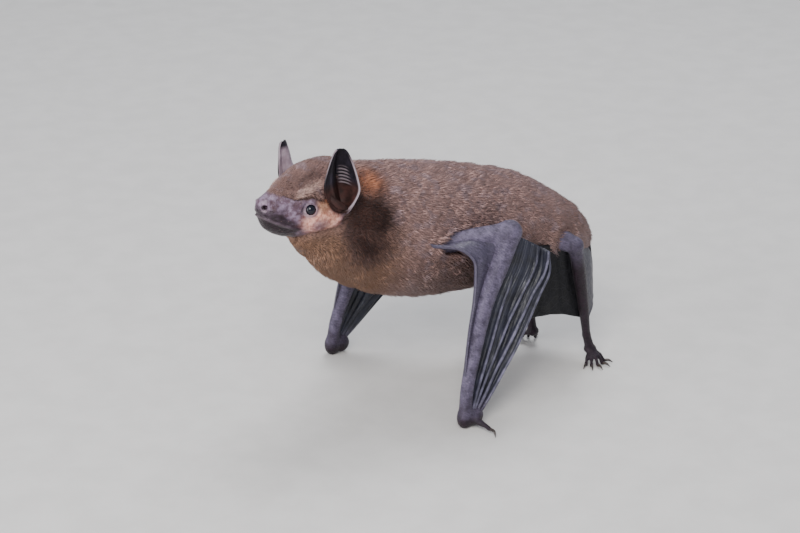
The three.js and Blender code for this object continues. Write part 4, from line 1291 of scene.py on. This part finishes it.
def wing_look():
    """Near-black pleated wing skin, with painted highlights along the fingers, and slate skin by the forearm.
    """
    look, w, shader = material("wing leather", Specular_IOR_Level=0.45)
    ridge_share, tint, _ = w.masks("Leaf")
    at = w.place()
    mottle = w.noise(at, 3.0, 4.0)
    wrinkle = w.noise(w.place((1.6, 1.6, 1.0)), 1.1, 5.0, 0.6)
    creases = w.cells(w.stretched(at, (1.5, 1.5, 0.45)), 1.3)
    slant = w.noise(w.slanted(at, 0.55, (1.3, 1.3, 0.32)), 0.75, 3.0)
    web = w.mottled(mottle, hue(20, 21, 31), hue(36, 38, 53))
    # ridge: the colour of the painted highlights on the finger crests, and of the arm web's pale free edge
    ridge = w.mottled(mottle, hue(88, 86, 108), hue(122, 118, 142))
    patchiness = w.ease(w.noise(w.place((1, 1, 0.6)), 1.6, 4.0), 0.36, 0.62, 0.35, 1.0)
    arm_skin = w.mottled(slant, hue(44, 39, 52), hue(84, 77, 98), 0.38, 0.62)
    arm_skin = w.mottled(mottle, arm_skin, hue(62, 57, 74))
    # the finger crests' painted highlights and the arm web's pale free edge, mixed in patches towards the
    # ridge colour
    colour = w.mix(tint, w.mix(w.times(ridge_share, patchiness), web, ridge), arm_skin)
    height = w.plus(w.times(wrinkle, 0.9), w.ease(creases, 0.0, 0.12, 0.0, 0.15))
    height = w.plus(height, w.times(w.noise(at, 0.3, 3.0), 0.3))
    height = w.plus(height, w.times(slant, tint))
    finish(w, shader, colour, w.ease(wrinkle, 0.3, 0.7, 0.36, 0.55), height, 0.6, 0.14)
    return look


def shaded_web_look():
    """Almost black skin, darker than the wing skin as a painted shadow, with a faint net of veins."""
    look, w, shader = material("dark web", Specular_IOR_Level=0.25)
    at = w.place()
    mottle = w.noise(at, 2.5, 4.0)
    vein = w.ease(w.cells(at, 1.5), 0.14, 0.0)
    colour = w.mix(w.times(vein, 0.25), w.mottled(mottle, hue(8, 8, 11), hue(15, 15, 19)), hue(36, 36, 44))
    height = w.plus(vein, w.noise(at, 0.6, 3.0))
    finish(w, shader, colour, w.ease(mottle, 0.3, 0.7, 0.5, 0.66), height, 0.4, 0.12)
    return look


def ear_look():
    """Lilac leather, with brown, black and pale rims by the ear's masks; the pale of the front rim is a
    painted sheen.
    """
    look, w, shader = material("ear leather", Specular_IOR_Level=0.2)
    rim, brown, black = w.masks("Leaf")
    mottle = w.noise(w.place(), 1.8, 4.0)
    colour = w.mottled(mottle, hue(136, 118, 130), hue(168, 150, 162))
    colour = w.mix(brown, colour, w.mottled(mottle, hue(40, 21, 16), hue(66, 36, 27)))
    colour = w.mix(black, colour, w.mottled(mottle, hue(17, 14, 19), hue(34, 29, 39)))
    # the pale mask: ribs and rear rim, and a painted sheen on the upper front rim
    colour = w.mix(rim, colour, hue(150, 138, 146))
    wrinkle = w.noise(w.place((1, 1, 2.2)), 0.8, 4.0)
    finish(w, shader, colour, w.ease(mottle, 0.3, 0.7, 0.55, 0.7), wrinkle, 0.5, 0.12)
    return look


def plain_look(name, specular, size_mm, colours, roughness, strength, depth_mm):
    """A finish of one grain of noise: from one colour, roughness and height to another."""
    look, w, shader = material(name, Specular_IOR_Level=specular)
    grain = w.noise(w.place(), size_mm, 3.0)
    finish(w, shader, w.mottled(grain, *colours), w.ease(grain, 0.3, 0.7, *roughness), grain, strength,
           depth_mm)
    return look


def make_looks():
    coat = shared("coat colours", [("Colour", "NodeSocketColor")], coat_colours)
    return {"fur": fur_look(coat), "skin": skin_look(coat), "wing": wing_look(), "web": shaded_web_look(),
            "ear": ear_look(),
            "eye": plain_look("eye", 0.36, 0.5, (hue(7, 8, 16), hue(17, 18, 32)), (0.05, 0.09), 0.05, 0.02),
            "claw": plain_look("claw horn", 0.5, 0.4, (hue(30, 25, 24), hue(66, 55, 50)), (0.28, 0.42),
                               0.3, 0.03)}


# ------------------------------------------------------------------ the animal
def add_skin(looks):
    """The one skin over all the flesh; returns its points and faces for the coat to grow on."""
    points, faces = skin_over(build_clay())
    points = relax(points, faces, 2, 0.5)
    points[:, 2] = np.maximum(points[:, 2], 0.0)
    piece = make_piece("skin", points, faces, looks["skin"])
    give_markings(piece, points)
    whole = ["head", "lower_jaw", "nose", "neck", "trunk", "tail"]
    parts = ["upper_arm", "forearm", "hand", "thumb", "thigh", "shin", "foot"]
    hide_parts(*whole, *[f"{part}_{side}" for part in parts for side in SIDES])
    return points, faces


def add_part(name, made, look, replaced):
    """A closed piece that takes the place of the named solids."""
    points, faces = made[:2]
    piece = make_piece(name, points, facing_out(points, faces), look)
    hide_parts(*replaced)
    return piece


def add_sheet(name, made, look, replaced, masks):
    """A sheet, with masks worked out from its t, its s and which face a point is on."""
    piece = add_part(name, made, look, replaced)
    give(piece, "Leaf", np.clip(np.stack(masks(*made[2].T), -1), 0, 1))


def hand_masks(t, s, outer):
    """A painted highlight along each finger's crest where it stands up, and leather-coloured beside the
    forearm.
    """
    pale = 0 * s
    for across, radius, reach in finger_lines(t, (1 + s) / 2 * HAND_BEYOND, hand_width(t)):
        # painted highlight along the finger's crest
        line = np.exp(-(across / (radius * 0.6)) ** 2)
        pale = np.maximum(pale, line * smoothstep(reach + 0.12, reach - 0.08, t))
    return 0.85 * pale, smoothstep(-0.75, -1, s) + smoothstep(0.15, 0, t), 0 * s


def arm_masks(t, s, outer):
    """Leather-coloured, with a pale free edge."""
    return 0.4 * smoothstep(-0.86, -1, s), 1 + 0 * s, 0 * s


def tail_masks(t, s, outer):
    """Hardly leather-coloured at all."""
    return 0 * s, 0.3 + 0 * s, 0 * s


def ear_masks(t, s, outer):
    """Pale, brown and black shares: a lilac back with a black tip, and a dark inside with a brown
    hollow, pale ribs, a pale rear rim and a painted sheen along the front rim's upper part."""
    _, v = behind_fold(t, s)
    rim = smoothstep(0.945, 0.98, s) * smoothstep(0.05, 0.2, t) * smoothstep(0.85, 0.6, t)
    # painted sheen along the upper front rim
    painted_front_rim_sheen = 0.7 * smoothstep(0.955, 0.985, -s) * smoothstep(0.45, 0.7, t) * smoothstep(0.98, 0.92, t)
    pale = np.maximum.reduce([0.6 * outer * ear_ribs(t, v), rim, painted_front_rim_sheen])
    black = np.maximum(outer, smoothstep(0.70, 0.80, t)) * (1 - 0.7 * outer * smoothstep(0.5, 0.36, t))
    return pale, outer, black * (1 - pale)


def add_sheets(looks):
    for side in SIDES:
        hand = [f"hand_membrane_{side}", *[f"finger_{n}_{side}" for n in (2, 3, 4, 5)]]
        add_sheet(f"hand_wing_{side}", hand_wing(side), looks["wing"], hand, hand_masks)
        add_sheet(f"arm_web_{side}", arm_web(side), looks["wing"], [f"arm_membrane_{side}"],
                  arm_masks)
        # the side web lies behind the folded hand; its near-black finish is a painted shadow
        add_part(f"side_web_{side}", side_web(side), looks["web"], [f"side_membrane_{side}"])
        add_sheet(f"ear_leaf_{side}", ear(side), looks["ear"], [f"ear_{side}"], ear_masks)
    add_sheet("tail_web", tail_web(), looks["wing"], ["tail_membrane"], tail_masks)


def add_small_parts(looks):
    """Eyeballs, tragi and claws."""
    for side in SIDES:
        mirror = [1, OUTWARD[side], 1]
        eyeball = ball_points(from_head(EYE_PLACE * mirror), (EYE_AXIS * mirror) @ HEAD_AXES, EYE_RADIUS,
                              EYE_BULGE)
        add_part(f"eyeball_{side}", eyeball, looks["eye"], [f"eye_{side}"])
        lobe = tube_points(from_head(TRAGUS * mirror), TRAGUS_RADII, rows_by(32), 20, 0.5)
        piece = add_part(f"tragus_lobe_{side}", lobe, looks["ear"], [f"tragus_{side}"])
        give(piece, "Leaf", np.tile([0.0, 1.0, 0.3], (len(lobe[0]), 1)))
        for number, (_, nail) in enumerate(toe_lines(side), 1):
            add_part(f"claw_{number}_{side}", tube_points(nail, TOE_CLAW_RADII, 18, 14, 0.75),
                     looks["claw"], [f"toe_claw_{number}_{side}"])
        nail = tube_points(arm_side(THUMB_CLAW, side), THUMB_CLAW_RADII, 20, 14, 0.75)
        add_part(f"claw_thumb_{side}", nail, looks["claw"], [f"thumb_claw_{side}"])


# ------------------------------------------------------------------ floor, light and camera, in metres
FLOOR_REACH = 6
SKY, SKY_STRENGTH = (0.80, 0.85, 0.95, 1), 0.55
# name, place, size, watts and colour; all lamps face LAMP_AIM
LAMPS = (("key", (-0.34, -0.44, 0.50), 0.34, 5.4, (1.0, 0.97, 0.94)),
         ("fill", (-0.62, -0.06, 0.16), 0.40, 2.9, (0.98, 0.97, 1.0)),
         ("top", (0.20, 0.22, 0.60), 0.30, 2.6, (0.95, 0.96, 1.0)))
LAMP_AIM = Vector((0, 0, 0.04))
CAMERA_PLACE = (-0.2309, -0.4210, 0.2238)
CAMERA_AROUND, CAMERA_ABOVE = np.radians(-28), np.radians(22)


def add_floor():
    look, w, shader = material("floor", Specular_IOR_Level=0.3)
    speck = w.noise(w.place(), 9.0, 3.0)
    w.put(shader.inputs["Base Color"], w.mottled(speck, hue(205, 203, 200), hue(211, 209, 206)))
    w.put(shader.inputs["Roughness"], w.ease(speck, 0.3, 0.7, 0.7, 0.8))
    mesh = bpy.data.meshes.new("floor")
    mesh.from_pydata([(x * FLOOR_REACH, y * FLOOR_REACH, 0) for x, y in ((-1, -1), (1, -1), (1, 1), (-1, 1))],
                     [], [(0, 1, 2, 3)])
    mesh.materials.append(look)
    floor = bpy.data.objects.new("floor", mesh)
    bpy.context.scene.collection.objects.link(floor)


def add_light():
    world = bpy.data.worlds.new("studio")
    bpy.context.scene.world = world
    world.use_nodes = True
    sky = world.node_tree.nodes["Background"]
    sky.inputs[0].default_value = SKY
    sky.inputs[1].default_value = SKY_STRENGTH
    for name, place, size, watts, colour in LAMPS:
        lamp = bpy.data.lights.new(name, "AREA")
        lamp.energy, lamp.size, lamp.color = watts, size, colour
        light = bpy.data.objects.new(name, lamp)
        light.location = place
        light.rotation_euler = (LAMP_AIM - Vector(place)).to_track_quat("-Z", "Y").to_euler()
        bpy.context.scene.collection.objects.link(light)


def add_camera():
    lens = bpy.data.cameras.new("camera")
    lens.lens, lens.sensor_width, lens.clip_start = 100, 36, 0.01
    camera = bpy.data.objects.new("camera", lens)
    back = Vector((np.sin(CAMERA_AROUND) * np.cos(CAMERA_ABOVE),
                   -np.cos(CAMERA_AROUND) * np.cos(CAMERA_ABOVE), np.sin(CAMERA_ABOVE)))
    turn = back.to_track_quat("Z", "Y").to_matrix().to_4x4()
    camera.matrix_world = Matrix.Translation(CAMERA_PLACE) @ turn
    bpy.context.scene.collection.objects.link(camera)
    bpy.context.scene.camera = camera


LOOKS = make_looks()
SKIN_POINTS, SKIN_FACES = add_skin(LOOKS)
add_sheets(LOOKS)
add_small_parts(LOOKS)
grow_coat(SKIN_POINTS, SKIN_FACES, point_normals(SKIN_POINTS, SKIN_FACES), LOOKS["fur"])
add_floor()
add_light()
add_camera()
